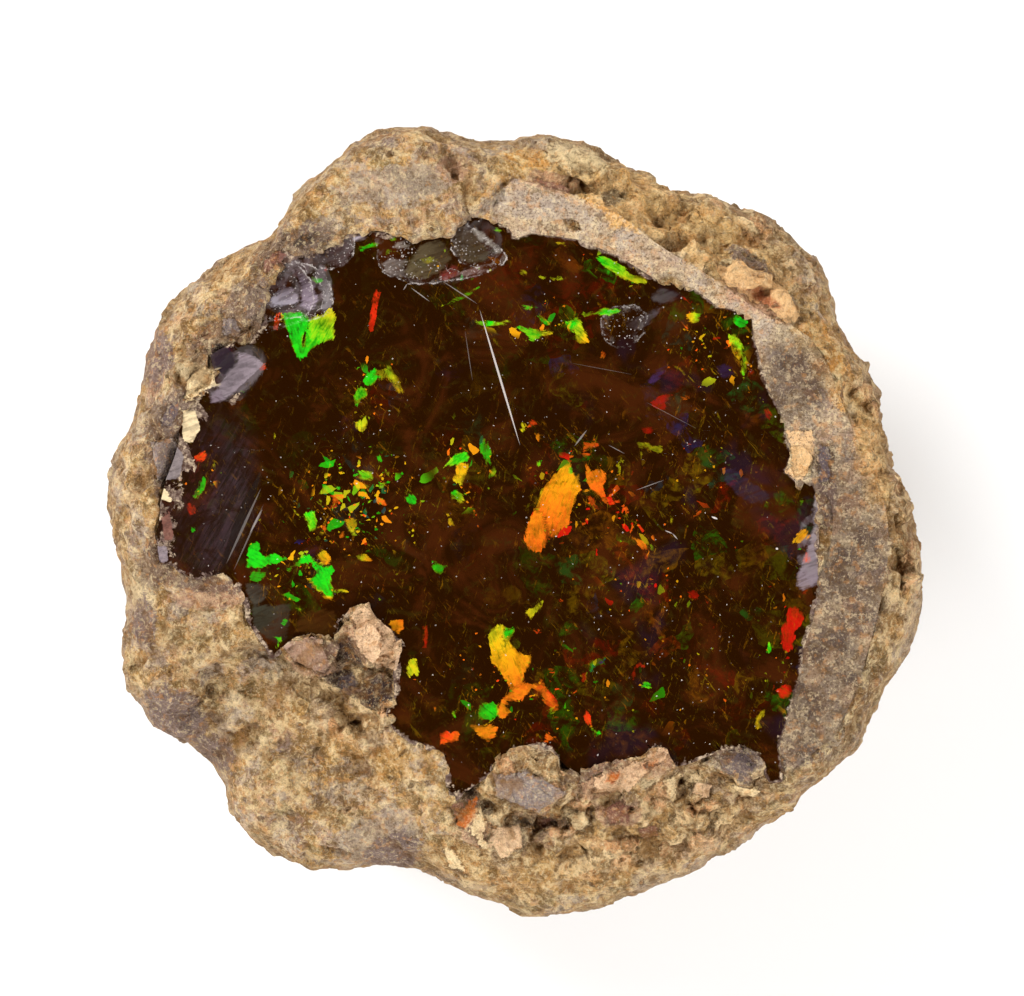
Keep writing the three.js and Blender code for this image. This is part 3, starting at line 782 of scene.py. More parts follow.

# %% [markdown]
# ## The rock's finish
# Seen close, the rock is a crumb of grains a few tenths of a millimetre wide, over blotches of
# tan, ochre, cream, pink and grey. Creases and pits get painted brown shade. Cells whose borders
# are stirred by noise give the separate grains, noise at several sizes gives the blotches and the
# dark flecks, and the mesh's own crease and relief attributes paint shade on what lies deep.

# %% Colours of the rock
TAN = srgb(194, 160, 114)
OCHRE = srgb(206, 160, 94)
CREAM = srgb(234, 210, 166)
PINK = srgb(190, 146, 118)
GREY = srgb(178, 162, 148)
MOSS = srgb(150, 130, 86)
# painted shade for the dark patches in pits and hollows
HOLLOW_SHADE = srgb(58, 46, 42)
STAIN = srgb(100, 78, 74)
DUSK = srgb(92, 76, 66)
PLUM = srgb(128, 108, 104)
HONEY = srgb(230, 172, 88)
PEACH = srgb(226, 172, 122)
STAINS = [
    # attribute, colour, strength
    ("ochre", OCHRE, 0.75), ("honey", HONEY, 0.8), ("peach", PEACH, 0.8),
]
CLASTS = [
    ("cream", CREAM, 0.9), ("pink", PINK, 0.75), ("grey", GREY, 0.6), ("plum", PLUM, 0.9),
    # the dark patches are painted shade in pits and hollows
    ("stained", STAIN, 0.7), ("dark", HOLLOW_SHADE, 0.75),
]
print(len(STAINS) + len(CLASTS), "patches of colour have a tone of their own")

# %% [markdown]
# ## The rock's material
# The colours go on one over the other: blotches and stains first, then crumbs with painted shade
# in the gaps between them, clods with painted shade and highlight, cracks, holes with painted
# shade, the named clasts and the shards. Grains and pepper cover all of it, and last painted shade
# goes into the creases, onto whatever lies deep and onto the sides that face away from the light.


# %% Rock material
def rock_material():
    g = Graph("rhyolite")
    place = g.place()
    flat = g.attribute("ground")
    rough = 1 - flat
    fray = g.noise(1.2 * MM, 5, 0.75, place=place) - 0.5
    blotch = g.noise(1.9 * MM, 5, 0.7, place=g.shifted(place, 7 * MM))
    smudge = g.noise(6 * MM, 3, 0.6, place=place)
    cool = g.noise(2.6 * MM, 5, 0.7, place=g.shifted(place, 11 * MM))

    colour = g.mix(smudge.ramp(0.4, 0.62), TAN, OCHRE)
    colour = g.mix(blotch.ramp(0.52, 0.62) * 0.6, colour, CREAM)
    colour = g.mix(blotch.ramp(0.48, 0.38) * 0.6, colour, PINK)
    colour = g.mix(cool.ramp(0.51, 0.58) * 0.8, colour, GREY)
    colour = g.mix(cool.ramp(0.48, 0.4) * 0.75, colour, MOSS)
    dull = g.noise(3.4 * MM, 5, 0.7, place=g.shifted(place, 53 * MM))
    colour = g.mix(dull.ramp(0.55, 0.64) * 0.7, colour, PLUM)
    colour = g.mix(flat * 0.5, colour, GREY)
    for tone, over, share in STAINS:
        inside = g.attribute("tone_" + tone) + fray * 2.2
        colour = g.mix(inside.ramp(-0.05, 0.3) * share, colour, over)
    warmth = (g.attribute("tone_honey") + fray * 1.5).ramp(-0.1, 0.3) * (1 - flat * 0.6)
    dusk = (g.attribute("tone_shaded") + fray * 0.7).ramp(-0.3, 0.6)
    colour = g.mix(dusk * (0.72 + cool.ramp(0.45, 0.55) * 0.28), colour, DUSK)
    pale = g.noise(4 * MM, 4, 0.65, place=g.shifted(place, 71 * MM))
    colour = g.mix(pale.ramp(0.53, 0.63) * rough * 0.5, colour, srgb(212, 194, 170))
    colour = g.mix(pale.ramp(0.47, 0.37) * rough * 0.5, colour, srgb(186, 140, 74))

    crumbly = g.attribute("crumbly") * rough
    lumps = g.stirred(place, 1.1 * MM, 0.7 * MM)
    _, lump_shade, lump_tint = g.cells(1.5 * MM, lumps)
    colour = g.mix(lump_shade.ramp(0.58, 0.63) * (crumbly * 0.75 + 0.1), colour, srgb(250, 222, 174))
    colour = g.mix(lump_shade.ramp(0.25, 0.21) * (crumbly * 0.6 + 0.1), colour, srgb(138, 100, 58))
    colour = g.mix(lump_tint.ramp(0.8, 0.82) * (crumbly * 0.65 + 0.12), colour, srgb(224, 160, 116))
    colour = g.mix(lump_tint.ramp(0.14, 0.12) * (crumbly * 0.6 + 0.1), colour, srgb(136, 110, 104))
    # painted shade in the gaps between the crumbs
    gap = g.borders(1.5 * MM, lumps).ramp(0.13, 0.03) * (crumbly * 0.75 + rough * 0.15)
    gap = gap * blotch.ramp(0.4, 0.55)
    colour = g.mix(gap, colour, g.mix(warmth, srgb(92, 60, 30), srgb(132, 84, 32)))
    colour = g.mix(warmth * 0.45, colour, g.mix(blotch.ramp(0.42, 0.58), srgb(222, 150, 62),
                                                srgb(255, 222, 158)))
    clod = g.noise(1.3 * MM, 5, 0.7, place=g.shifted(place, 31 * MM))
    # painted shade in the low parts of the clods and painted highlight on the high ones, which the bump
    # raises
    colour = g.mix(clod.ramp(0.46, 0.41) * (0.75 - flat * 0.35), colour, srgb(112, 82, 42))
    colour = g.mix(clod.ramp(0.54, 0.6) * (0.6 - flat * 0.4), colour, srgb(240, 214, 164))
    crack = abs(clod - 0.47).ramp(0.012, 0.003) * blotch.ramp(0.45, 0.55) * rough
    colour = g.mix(crack * 0.7, colour, srgb(80, 54, 28))
    near, pick, _ = g.cells(0.8 * MM, g.stirred(g.shifted(place, 61 * MM), 0.5 * MM, 0.5 * MM))
    # painted shade in small holes, which the bump sinks
    hole = pick.ramp(0.9, 0.92) * (near + fray).ramp(0.42, 0.22) * (1 - flat * 0.4)
    colour = g.mix(hole * 0.75, colour, srgb(88, 60, 32))
    colour = g.mix(crumbly * (0.22 + warmth * 0.2), colour, srgb(240, 200, 140))
    grit = g.noise(0.46 * MM, 4, 0.7, place=g.shifted(place, 19 * MM))
    for tone, over, share in CLASTS:
        inside = g.attribute("tone_" + tone) + fray * 1.6 + (grit - 0.5) * 0.8
        colour = g.mix(inside.ramp(0, 0.2) * share, colour, over)
    shard = g.attribute("shard") + fray * 0.9 + (grit - 0.5) * 0.7
    veined = 0.9 - blotch.ramp(0.42, 0.38) * 0.35 - grit.ramp(0.45, 0.4) * 0.3
    colour = g.mix(shard.ramp(0, 0.1) * veined, colour, g.attribute("shard_colour", "Color"))
    # painted shade in the crevice along each shard's edge
    colour = g.mix(abs(shard + 0.05).ramp(0.2, 0.04) * clod.ramp(0.6, 0.45) * 0.6, colour,
                   srgb(84, 56, 34))

    grain = g.noise(0.2 * MM, 3, 0.7, place=g.shifted(place, 3 * MM))
    calm = 1 - shard.ramp(0, 0.1) * 0.5
    colour = g.mix(grit.ramp(0.45, 0.4) * calm * 0.5, colour, srgb(114, 84, 46))
    colour = g.mix(grit.ramp(0.54, 0.6) * calm * 0.45, colour, srgb(242, 218, 172))
    colour = g.mix(grain.ramp(0.46, 0.36) * (0.3 + flat * 0.5), colour, srgb(84, 62, 42))
    colour = g.mix(grain.ramp(0.56, 0.68) * 0.35, colour, srgb(242, 226, 192))
    warm = g.noise(0.7 * MM, 3, 0.6, place=g.shifted(place, 43 * MM))
    colour = g.mix(warm.ramp(0.56, 0.66) * 0.35, colour, srgb(214, 150, 84))
    colour = g.mix(warm.ramp(0.42, 0.32) * 0.3, colour, srgb(148, 126, 112))
    crowd = g.noise(1.4 * MM, 3, 0.6, place=g.shifted(place, 8 * MM))
    pepper = (g.noise(0.15 * MM, 3, 0.7, place=g.shifted(place, 5 * MM)) + crowd * 0.25
              + flat * 0.05).ramp(0.76, 0.82)
    colour = g.mix(pepper * (0.3 + flat * 0.3), colour, srgb(84, 62, 48))

    # painted shade in the creases
    colour = g.mix(g.attribute("crease").ramp(0.1, 1.0) * rough * 0.4, colour, srgb(132, 92, 44))
    # painted shade where the rock lies deep
    colour = g.mix(g.attribute("relief").ramp(-0.1, -0.5) * rough * (0.5 - warmth * 0.3), colour,
                   srgb(124, 84, 38))
    # painted shade on the sides that turn away from the light above
    colour = g.mix(g.attribute("skyward").ramp(0.7, 0.0) * (0.4 - warmth * 0.3), colour,
                   srgb(126, 98, 72))
    kept = warmth.most(shard.ramp(0, 0.1) * 0.6)
    tint = g.mix(kept, (1, 0.97, 0.93), (1, 0.96, 0.88))
    tint = g.mix(flat * g.millimetres(place)[0].ramp(-6, 0), tint, (0.92, 0.91, 0.9))
    colour = g.mix(1.0, colour, g.mix(dusk * flat, tint, (0.71, 0.69, 0.7)), "MULTIPLY")
    bite = (0.28 - g.attribute("rim") + fray * 0.9).ramp(0, 0.2)
    colour = g.mix(bite * 0.65, colour, srgb(78, 50, 34))

    height = clod * 2.8 + grit * 1.8 + grain * 0.5 - gap * 0.8 - hole * 0.5 - crack * 0.3
    height = height * (1 - flat * 0.55) * (1 - shard.ramp(0, 0.07) * 0.4)
    bump = g.node("ShaderNodeBump", None,
                  {"Height": height, "Strength": 1.0, "Distance": 0.36 * MM})
    shader = g.node("ShaderNodeBsdfPrincipled", None, {
        "Base Color": colour,
        "Roughness": 0.9 - flat * 0.12,
        "Normal": bump.out(),
        "Specular IOR Level": 0.3,
    })
    return g.finish(shader)


rind.data.materials.append(rock_material())
print("rock material:", len(rind.data.materials[0].node_tree.nodes), "nodes")

# %% [markdown]
# ## The opal's chips
# The opal's face is flat where it was ground, and shell-like where chips have left its rim. The
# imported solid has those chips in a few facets, which would glitter in so glossy a stone. Its long
# edges are cut short as the rock's were, and each point of the face is then set on the true
# curved surface, worked out here from the same sizes. The edge grows outwards a little, into the
# packed gap, so that rock and opal meet as they do in nature.

# %% Chips in the opal
CHIP_ROUNDNESS = 5
CHIPS = [
    # x, y, half width, half length, depth, turn in degrees
    (-24.5, 2.2, 4.5, 8.2, 2.3, -12), (-22, 11.6, 1.7, 2.9, 0.9, -42),
    (-5.3, 21.1, 4.7, 2.4, 0.8, 6), (-2.7, 22.2, 1.9, 1.8, 1.2, 0),
    (-16.5, 18.8, 2.1, 2.4, 0.8, 10), (-18.2, 18.4, 1.9, 2.1, 1.1, 0),
    (-14.6, 21.6, 1.9, 1.2, 0.7, 20), (9, 15.6, 1.7, 2, 0.4, 0),
    (11.6, 17.7, 1.5, 2.4, 0.6, -48), (23.9, -1.3, 1.4, 3.9, 0.5, -8),
    (-20.2, -7.6, 1.8, 3.2, 1, 14), (-3.9, -20.6, 1.6, 2.6, 1.3, 0),
]


def chip_dip(place, chip):
    """How deep a chip's bowl lies below the face at a point, in millimetres; under 0 outside."""
    x, y, across, along, depth, turn = chip
    angle = math.radians(turn)
    east, north = place.x - x, place.y - y
    widen = 1 / math.sqrt(1 - (CHIP_ROUNDNESS / (CHIP_ROUNDNESS + 1)) ** 2)
    u = (east * math.cos(angle) + north * math.sin(angle)) / (across * widen)
    v = (north * math.cos(angle) - east * math.sin(angle)) / (along * widen)
    inside = max(0, 1 - u * u - v * v)
    return depth * ((CHIP_ROUNDNESS + 1) * math.sqrt(inside) - CHIP_ROUNDNESS)


print(len(CHIPS), "chips")

# %% [markdown]
# ## Setting the opal's points
# The points on the face go onto the curved surface, and those on its wall move outwards. Each
# one keeps what the material needs: how deep its chip is, how much painted reflection it shows,
# and how near the brink.

# %% Opal mesh
LAP = 0.35 * MM
FACE_SINK = 0.015 * MM
# painted grey reflection in each chip: the big hollow and the stepped ones at the upper left most
CHIP_SHEEN = [1, 0.3, 0, 0.05, 0.35, 0.35, 0.3, 0, 0, 0.6, 0, 0]
# where the big hollow's painted reflection is greyest: x, y, half length, half width, turn
SHEEN_BAND = [(-22.9, 0.6, 6, 1.7, 80)]
# the faint ones are hardly dips at all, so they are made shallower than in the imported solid
SHALLOW = {0: 0.3, 2: 0.6, 3: 0.45, 7: 0.35, 8: 0.3, 9: 0.5, 10: 0.3, 11: 0.2}
core = merged_copy("opal")
cut_long_edges(core, lambda edge: (0.5 if edge.verts[0].co.z > FACE - 2.6 * MM else 2.5) * MM)
core.normal_update()
core_layers = core.verts.layers.float
chip_layer = core_layers.new("chip")
ripple_layer = core_layers.new("ripple")
sheen_layer = core_layers.new("sheen")
stepped_layer = core_layers.new("stepped")
edge_layer = core_layers.new("edge")
crusty_layer = core_layers.new("crusty")
crumbs_layer = core_layers.new("crumbs")
CRUMBS = [
    # likewise, where crumbs of rock lie on the opal
    (-26.6, 5, 1.7, 5.6, -8), (-25.2, 8.9, 1.6, 1.6, 0), (-27.6, -1.5, 1.1, 2.6, -8),
    (-17.4, 21.6, 3, 0.8, 26), (24.6, 4.4, 0.8, 2.2, 0), (-22.3, 9.6, 1.2, 0.6, 50),
]
CRUSTY = [
    # x, y, half length, half width, turn in degrees: where broken rock meets the opal
    (-24, 6, 8, 18, 16), (-12, -11, 7, 5, 0), (4, -20, 16, 4, 2), (-14, 21.5, 6, 3, 20),
]
STEEP = 0.4
walls = {}
tops = set()
for vertex in core.verts:
    steep = [face.normal for face in vertex.link_faces if face.normal.z < STEEP]
    outward = sum(steep, Vector())
    outward.z = 0
    if steep and vertex.co.z > 22 * MM and outward.length > 0:
        walls[vertex] = outward.normalized()
    if vertex.co.z > FACE - 3 * MM and len(steep) < len(vertex.link_faces):
        tops.add(vertex)
brink = [vertex for vertex in walls if vertex in tops]
brink_tree = kdtree.KDTree(len(brink))
for number, vertex in enumerate(brink):
    brink_tree.insert((vertex.co.x, vertex.co.y, 0), number)
brink_tree.balance()
for vertex in core.verts:
    place = vertex.co / MM
    dips = [chip_dip(place, chip) for chip in CHIPS]
    deepest = max(dips)
    number = dips.index(deepest)
    vertex[chip_layer] = deepest
    fade = CHIPS[number][4] * (0.6 if number == 0 else 0.35)
    sheen_share = 0.4 + 0.6 * step(inside_ellipses(place, SHEEN_BAND), -0.3, 0.5) if number == 0 else 1
    sheen_share *= step(-19 - place.x, 0, 2.4) if number == 0 else 1
    vertex[sheen_layer] = CHIP_SHEEN[number] * sheen_share * step(deepest, 0.02, fade)
    vertex[stepped_layer] = 0 if number == 0 else 1
    vertex[edge_layer] = brink_tree.find((vertex.co.x, vertex.co.y, 0))[2] / MM
    vertex[crumbs_layer] = inside_ellipses(place, CRUMBS)
    vertex[crusty_layer] = step(inside_ellipses(place, CRUSTY), 0, 0.3)
    x, y, _, along, _, _ = CHIPS[number]
    vertex[ripple_layer] = math.hypot(place.x - x + 0.6 * along, place.y - y - 0.9 * along)
    if vertex in tops and abs(place.z - 30 + max(0, deepest)) < 0.6:
        vertex.co.z = FACE - max(0, deepest) * SHALLOW.get(number, 1) * MM - FACE_SINK
    if vertex in walls:
        vertex.co += walls[vertex] * LAP
core.normal_update()
print("opal:", len(core.verts), "points,", len(brink), "of them on its brink")

# %% [markdown]
# ## Flashes
# Precious opal splits white light, and each domain of it flashes one colour. The large flashes are
# outlined here as they show in the face, in millimetres, with a hue at the first corner and at
# the far end: 0 is blue, 0.25 green, 0.45 yellow-green, 0.6 yellow, 0.8 orange and 1 red.
# The mesh stores how far each point lies inside the nearest flash. That number changes evenly, so
# the material can cut it at zero and get a crisp edge from a coarse mesh.

# %% Flash outlines
FLASHES = [
    # hue at the start, hue at the end, brightness, corners as x,y in millimetres
    (0.25, 0.45, 0.9, "-2.4,16 -1,15.9 -0.2,16.3 -0.6,15.6 -2.1,15.5"),
    (0.35, 0.55, 0.9, "1.6,15.2 3.3,15.3 3,14.9 2.2,14.7"),
    (0.2, 0.3, 0.7, "1.9,16.5 2.3,16.3 2.8,15.6 2.2,15.6"),
    (0.25, 0.35, 0.9, "4,15.7 4.9,16.3 5.4,15.9 5.2,15.2 4.4,15.2"),
    (0.45, 0.5, 0.8, "0.4,20 0.9,20.1 1.1,19.7 0.6,19.5"),
    (0.45, 0.5, 0.6, "2,19.6 2.7,19.5 2.6,19.2 2,19.3"),
    (0.45, 0.5, 0.6, "2.9,19.5 3.4,19.5 3.4,19.2 2.9,19.2"),
    (0.4, 0.5, 0.5, "3.6,19.5 4.1,19.4 4,19.1 3.6,19.2"),
    (0.3, 0.35, 0.6, "0.7,17.3 1.5,17.2 1.3,16.8 0.6,16.9"),
    (0.35, 0.3, 0.45, "-5.9,17 -4.6,17.9 -2.6,18.8 -3,18.3 -4.6,17.4"),
    (0.6, 0.8, 1, "4.5,4.8 3.9,4.5 3.1,3.7 2.4,2.8 2,1.9 1.7,0.7 2.2,0.7 2.5,-0.3 2.6,-1.3 3.5,-1.3 "
     "3.8,-0.6 4.4,-0.2 4.5,0.8 5,1.7 5.3,2.7 5.2,3.8 4.7,3.7"),
    (0.7, 0.78, 1, "1.6,1 2.4,0.8 2.7,-0.6 2.6,-1.8 2,-2.6 1.2,-2.3 0.8,-1.5 1,-0.3"),
    (0.3, 0.4, 0.8, "4.4,4.6 4,4 4.2,3.5 4.7,3.7 4.7,4.2"),
    (0.48, 0.5, 0.75, "2.1,2.6 1.7,0.8 1.9,0.8 2.3,2.1"),
    (0.72, 0.8, 1, "5.5,4.9 5.9,4.4 6.2,4 6.7,4.3 7.3,4 7.4,3.4 7.1,3 7.3,2.2 7.6,1.7 7.4,1.3 7,1.7 "
     "6.4,2.3 5.9,2.8 5.7,3.6"),
    (0.8, 0.88, 0.8, "7.6,1.7 8.5,1.8 8.5,1.5 7.7,1.3"),
    (0.8, 0.84, 0.75, "8.6,1.1 9,1.2 9.2,0.8 9,0.4"),
    (0.82, 0.86, 0.45, "5.7,2.1 6.2,2 6.8,0.9 6.5,0.9 5.9,1.6"),
    (0.8, 0.84, 0.95, "5.4,6.3 6.8,6.3 6.8,5.9 6.3,5.8 5.5,5.8"),
    (0.78, 0.84, 0.6, "5.4,5.5 6.2,5.5 5.7,5 5.4,5.1"),
    (0.5, 0.5, 0.5, "8.5,5.2 8.7,4.9 8.6,4.4 8.4,3.7 8.1,3.8 8.2,4.5"),
    (0.82, 0.84, 0.8, "8.3,3.7 8.9,3.5 8.9,3.2 8.3,3.3"),
    (0.45, 0.5, 0.4, "9.7,6.3 10.8,6.3 11,6 11.7,6.1 11.9,5.7 11.6,5.3 10.8,5.7 10.3,6 10.1,5 10,5.8"),
    (0.7, 0.78, 0.9, "9.3,-0.6 9.5,-1.2 10.2,-1.5 10.5,-1.6 10.6,-2.2 10.3,-2.3 9.8,-1.8 9.4,-1.3"),
    (0.8, 0.8, 0.5, "10,-2.8 10.7,-3.1 11,-3.6 10.8,-3.6 10.5,-3.3"),
    (0.5, 0.5, 0.85, "0.5,8.1 0.9,7.8 0.9,7.1 0.5,7.1"),
    (0.86, 0.86, 0.7, "1.1,8.1 1.9,8.1 2,7.7 1.2,7.5"),
    (0.7, 0.74, 0.8, "1.5,7.1 2.1,7 2.1,6.2 1.8,6.4"),
    (0.33, 0.36, 0.75, "1.7,4.8 2.2,4.9 2.2,4.5 1.8,4.2"),
    (0.8, 0.82, 0.8, "14.1,0.4 14.7,1.1 14.9,0.7 14.2,0.2"),
    (0.46, 0.48, 0.6, "12.5,1.4 12.7,0.9 12.6,-0.2 12.4,-0.1 12.5,0.7"),
    (0.5, 0.5, 0.5, "13.7,-0.1 13.9,-0.4 13.8,-0.8 13.6,-0.6"),
    (0.97, 1, 0.35, "10.1,7.4 10.7,7.6 11.2,7.3 10.8,6.9 10.2,7"),
    (0.97, 1, 0.35, "13.8,-5.5 14.6,-5.4 14.7,-6.1 14,-6.1"),
    (0.88, 0.9, 0.5, "12.1,-4.5 12.5,-4.6 12.6,-4.8 12.2,-4.8"),
    (0.25, 0.27, 1, "-21.1,-1.8 -20.5,-1.6 -20.2,-1.8 -20.2,-2.5 -19.8,-2.8 -19.2,-2.4 -18.6,-2.7 "
     "-18.4,-3 -18.7,-3.4 -19.5,-3.4 -20,-3.7 -21.4,-3.7 -21.2,-2.9"),
    (0.25, 0.27, 0.5, "-20.9,-3.9 -19.6,-3.9 -19.9,-4.6 -20.5,-4.9 -21,-4.6"),
    (0.25, 0.28, 1, "-16.5,-2.5 -17.1,-2.9 -17.2,-3.4 -16.1,-3.3 -15.8,-3.9 -15.8,-4.3 -16.3,-4.6 "
     "-15.7,-5.4 -14.6,-6.1 -14.1,-5.7 -14.5,-5 -14.6,-4.3 -14.2,-3.9 -14.5,-3.5 -15.2,-3.5 -15.7,-3.3 "
     "-16.1,-2.8"),
    (0.27, 0.3, 0.75, "-17.5,-3.3 -17.2,-3.1 -17.1,-3.5 -17.6,-3.6"),
    (0.52, 0.66, 0.85, "-15.5,-2.2 -14.9,-2.3 -14.6,-2.9 -14.5,-3.4 -15.2,-3.4 -15.6,-2.7"),
    (0.56, 0.6, 0.95, "-16.6,-4.3 -16.2,-4.6 -15.7,-5.4 -14.6,-6.1 -14.3,-6.4 -15.2,-6 -16,-5.3 "
     "-16.5,-4.7"),
    (0.28, 0.3, 0.6, "-18.1,-3.7 -17.7,-3.5 -17.6,-3.9 -18,-4.2"),
    (0.5, 0.54, 0.8, "-14.1,-5.4 -13.4,-5.2 -13,-5.6 -13.4,-5.7 -14,-5.6"),
    (0.32, 0.28, 0.65, "-18.6,-5.9 -18,-5.5 -17.5,-5.9 -16.9,-6.2 -17.3,-6.3 -18,-6.1"),
    (0.28, 0.3, 0.6, "-17.5,-6.7 -16.6,-6.9 -17.1,-7.2 -17.4,-7"),
    (0.28, 0.28, 0.6, "-18.6,-7.9 -18,-7.7 -18,-8.2 -18.3,-8.3"),
    (0.28, 0.42, 0.7, "-19.3,-9.1 -18.3,-9.1 -18.5,-9.6 -18.8,-10.2 -19,-10 -18.8,-9.5"),
    (0.27, 0.27, 0.4, "-21.4,-6.9 -20.9,-6.9 -20.9,-7.6 -21.3,-7.6"),
    (0.64, 0.72, 0.75, "-10.6,-8.1 -9.7,-7.8 -8.9,-7.8 -8.7,-8.3 -9.1,-9 -9.6,-8.8 -10,-8.5"),
    (0.9, 0.97, 0.5, "-7.3,-8.2 -6.9,-8.2 -6.9,-9.1 -6.9,-10.2 -7.3,-10"),
    (0.46, 0.5, 1, "-8.4,-11.1 -7.8,-10.7 -7.8,-11.2 -7.5,-11.8 -7.6,-12.4 -8,-12.1 -8.4,-12.5 "
     "-8.6,-11.8"),
    (0.25, 0.27, 0.6, "-6.6,-2.8 -6,-3.3 -5.2,-3.5 -5.8,-4.2 -6.3,-4 -6.5,-3.4"),
    (0.78, 0.8, 0.9, "-15.4,-0.3 -14.9,-0.2 -14.9,-0.8 -15.3,-0.7"),
    (0.74, 0.8, 0.8, "-14,-0.9 -13.6,-0.6 -13.5,-1.2 -13.9,-1.5"),
    (0.86, 0.88, 0.6, "-16.5,-1.3 -16.2,-1.3 -16.2,-1.9 -16.4,-1.8"),
    (0.48, 0.5, 0.7, "-15.8,-1.1 -15.3,-1.2 -15.4,-1.6 -15.7,-1.5"),
    (0.65, 0.65, 0.9, "-14.8,-1.5 -14.4,-1.5 -14.5,-1.8 -14.7,-1.7"),
    (0.6, 0.4, 0.7, "-13.5,0.1 -12.6,0.1 -12.7,-0.6 -12.5,-1.1 -12.8,-1.2 -13.3,-0.6"),
    (0.27, 0.3, 0.6, "-12.4,-0.5 -11.4,-0.9 -12.1,-0.8"),
    (0.85, 0.88, 0.55, "-12.1,-1.3 -11.6,-1.7 -11.9,-1.9"),
    (0.4, 0.7, 0.65, "-12.5,-2.7 -11.8,-2.5 -11.2,-3 -11.6,-3.2 -12.4,-3.1"),
    (0.5, 0.5, 0.85, "-8.2,-0.6 -7.9,-0.6 -8,-1.4 -8.2,-1.2"),
    (0.27, 0.28, 0.8, "-11.5,22.2 -10.8,22.1 -10.9,21.8 -11.5,21.8"),
    (0.27, 0.3, 0.9, "-9.9,22.4 -9.7,22.8 -9.4,22.4 -9.8,22.2"),
    (0.28, 0.4, 0.9, "-10.3,21.6 -10,21.7 -9.7,21.3 -10.2,21.2"),
    (0.4, 0.42, 0.5, "-9.7,21.5 -8.6,21.5 -9,21.2"),
    (0.44, 0.5, 0.5, "-7.7,20.8 -6.9,21.2 -6.3,21 -5.5,21.3 -5.9,20.8 -6.8,20.5"),
    (0.27, 0.3, 0.9, "-1.8,23.3 -0.8,23.4 -0.5,23.1 -1.2,23 -1.8,23.1"),
    (0.46, 0.5, 0.6, "-6.5,17.7 -6.3,17.4 -6.3,17 -6.5,17.3"),
    (0.5, 0.4, 0.65, "-6.1,16.7 -5.8,17.1 -5.7,17.5 -5.5,17.3 -5.8,16.8"),
    (0.34, 0.36, 0.7, "-5.3,17.4 -4.5,17.6 -4.2,18.1 -4.2,17.8 -4.6,17.4 -5.2,17.3"),
    (0.34, 0.4, 0.4, "-3.9,18.2 -3.4,18.4 -2.8,18.9 -3,18.4 -3.5,18.2"),
    (0.3, 0.32, 0.8, "0.6,16.9 1.2,17.2 1.6,17 1,16.8"),
    (0.5, 0.5, 0.8, "0.6,19.9 1,19.9 1,19.6 0.6,19.7"),
    (0.9, 0.93, 0.9, "-11,18.6 -10.6,18.3 -10.8,17.3 -11,16 -11.2,15.1 -11.6,15.1 -11.5,16.4 "
     "-11.3,17.6"),
    (0.32, 0.36, 0.85, "8.5,17 8.5,16.7 7.7,16.4 6.5,16.4 5.9,16.3 5.3,16.2 5.4,16.5 6.4,16.7 7.2,17"),
    (0.97, 1, 0.5, "13.3,18 14.1,17.5 14.1,17.2 13.5,17.6"),
    (0.25, 0.68, 1, "14.9,16.5 14.7,16 14.3,15.8 13.8,15.9 13.6,16.4 13.8,16.6 14.3,16.7"),
    (0.2, 0.25, 0.85, "17.3,16.4 17.8,16.4 18.1,16.1 18.7,15.9 18.6,15.6 18,15.4 17.5,15.8"),
    (0.28, 0.28, 0.5, "16,16.1 16.4,16.3 16.3,15.9"),
    (0.4, 0.34, 1, "16.9,14.8 17.5,14.9 18,14.3 18.4,13.6 18.5,12.6 18.4,11.8 18.2,11.5 17.9,11.7 "
     "18.2,12.4 18.1,13.2 17.6,13.8 17.2,14.3"),
    (0.55, 0.58, 0.9, "17.1,14.1 17.6,13.8 18.1,13.1 18,12.6 17.7,12.8 17.3,13.5"),
    (0.84, 0.86, 0.7, "15.9,14.1 17,14 17,13.7 16.3,13.9"),
    (0.97, 0.97, 0.5, "15.8,14.7 16.4,14.7 16.4,14.3 15.9,14.3"),
    (0.78, 0.84, 0.8, "13.1,16 13.4,15.9 14.2,15 13.8,15.1 13.3,15.7"),
    (0.72, 0.86, 0.75, "6.7,13.1 7,13.8 7.3,13.3 7.1,12.9"),
    (0.5, 0.55, 0.4, "12.5,12.5 13.1,12.3 13.8,11.8 13.7,11.5 12.7,12.3"),
    (0.97, 1, 0.4, "10.8,9.5 11.9,10.2 12.9,10.2 12.1,9.4 12.1,8.9 11.2,8.9"),
    (0.94, 0.97, 0.75, "19.9,9.2 20.5,8.8 20.6,8.3 20.2,8.1 19.9,8.6"),
    (0.93, 0.93, 0.35, "18.6,12.2 19.1,12.2 19.1,11.6 18.7,11.5"),
    (0.6, 0.75, 0.8, "18.3,11.1 18.7,10.8 19.1,10 18.7,10.2"),
    (0.45, 0.45, 0.5, "19.4,9.9 20.1,9.8 19.8,9.5"),
    (0.35, 0.38, 0.7, "6.1,8.7 6.9,8.6 6.4,8.5"),
    (0.76, 0.76, 0.4, "13.1,9.9 14.4,10.2 14.2,9.8 13.6,9.6"),
    (0.82, 0.86, 0.9, "23,-2.9 23.3,-2.2 23.7,-3.1 23.1,-3.6"),
    (0.55, 0.68, 0.85, "21.7,-2.1 22.2,-1.4 22.8,-0.6 23.3,-0.4 23.6,-1.3 23,-1.6 22.3,-1.7"),
    (0.28, 0.3, 0.85, "22.4,1.6 22.8,1.9 23.2,1.6 22.8,1.3"),
    (0.27, 0.3, 0.7, "22.5,-2.1 23,-2 22.8,-2.3"),
    (0.93, 0.93, 0.6, "22.8,-5.5 23.3,-5.4 23.3,-5.8 22.9,-5.8"),
    (0.25, 0.27, 1, "-18.4,16.6 -16.7,16.8 -16.3,16.2 -16.6,15.2 -16.9,14.4 -16.6,13.7 -17,12.7 "
     "-17.5,13.5 -17.9,14.6 -18.2,15.5"),
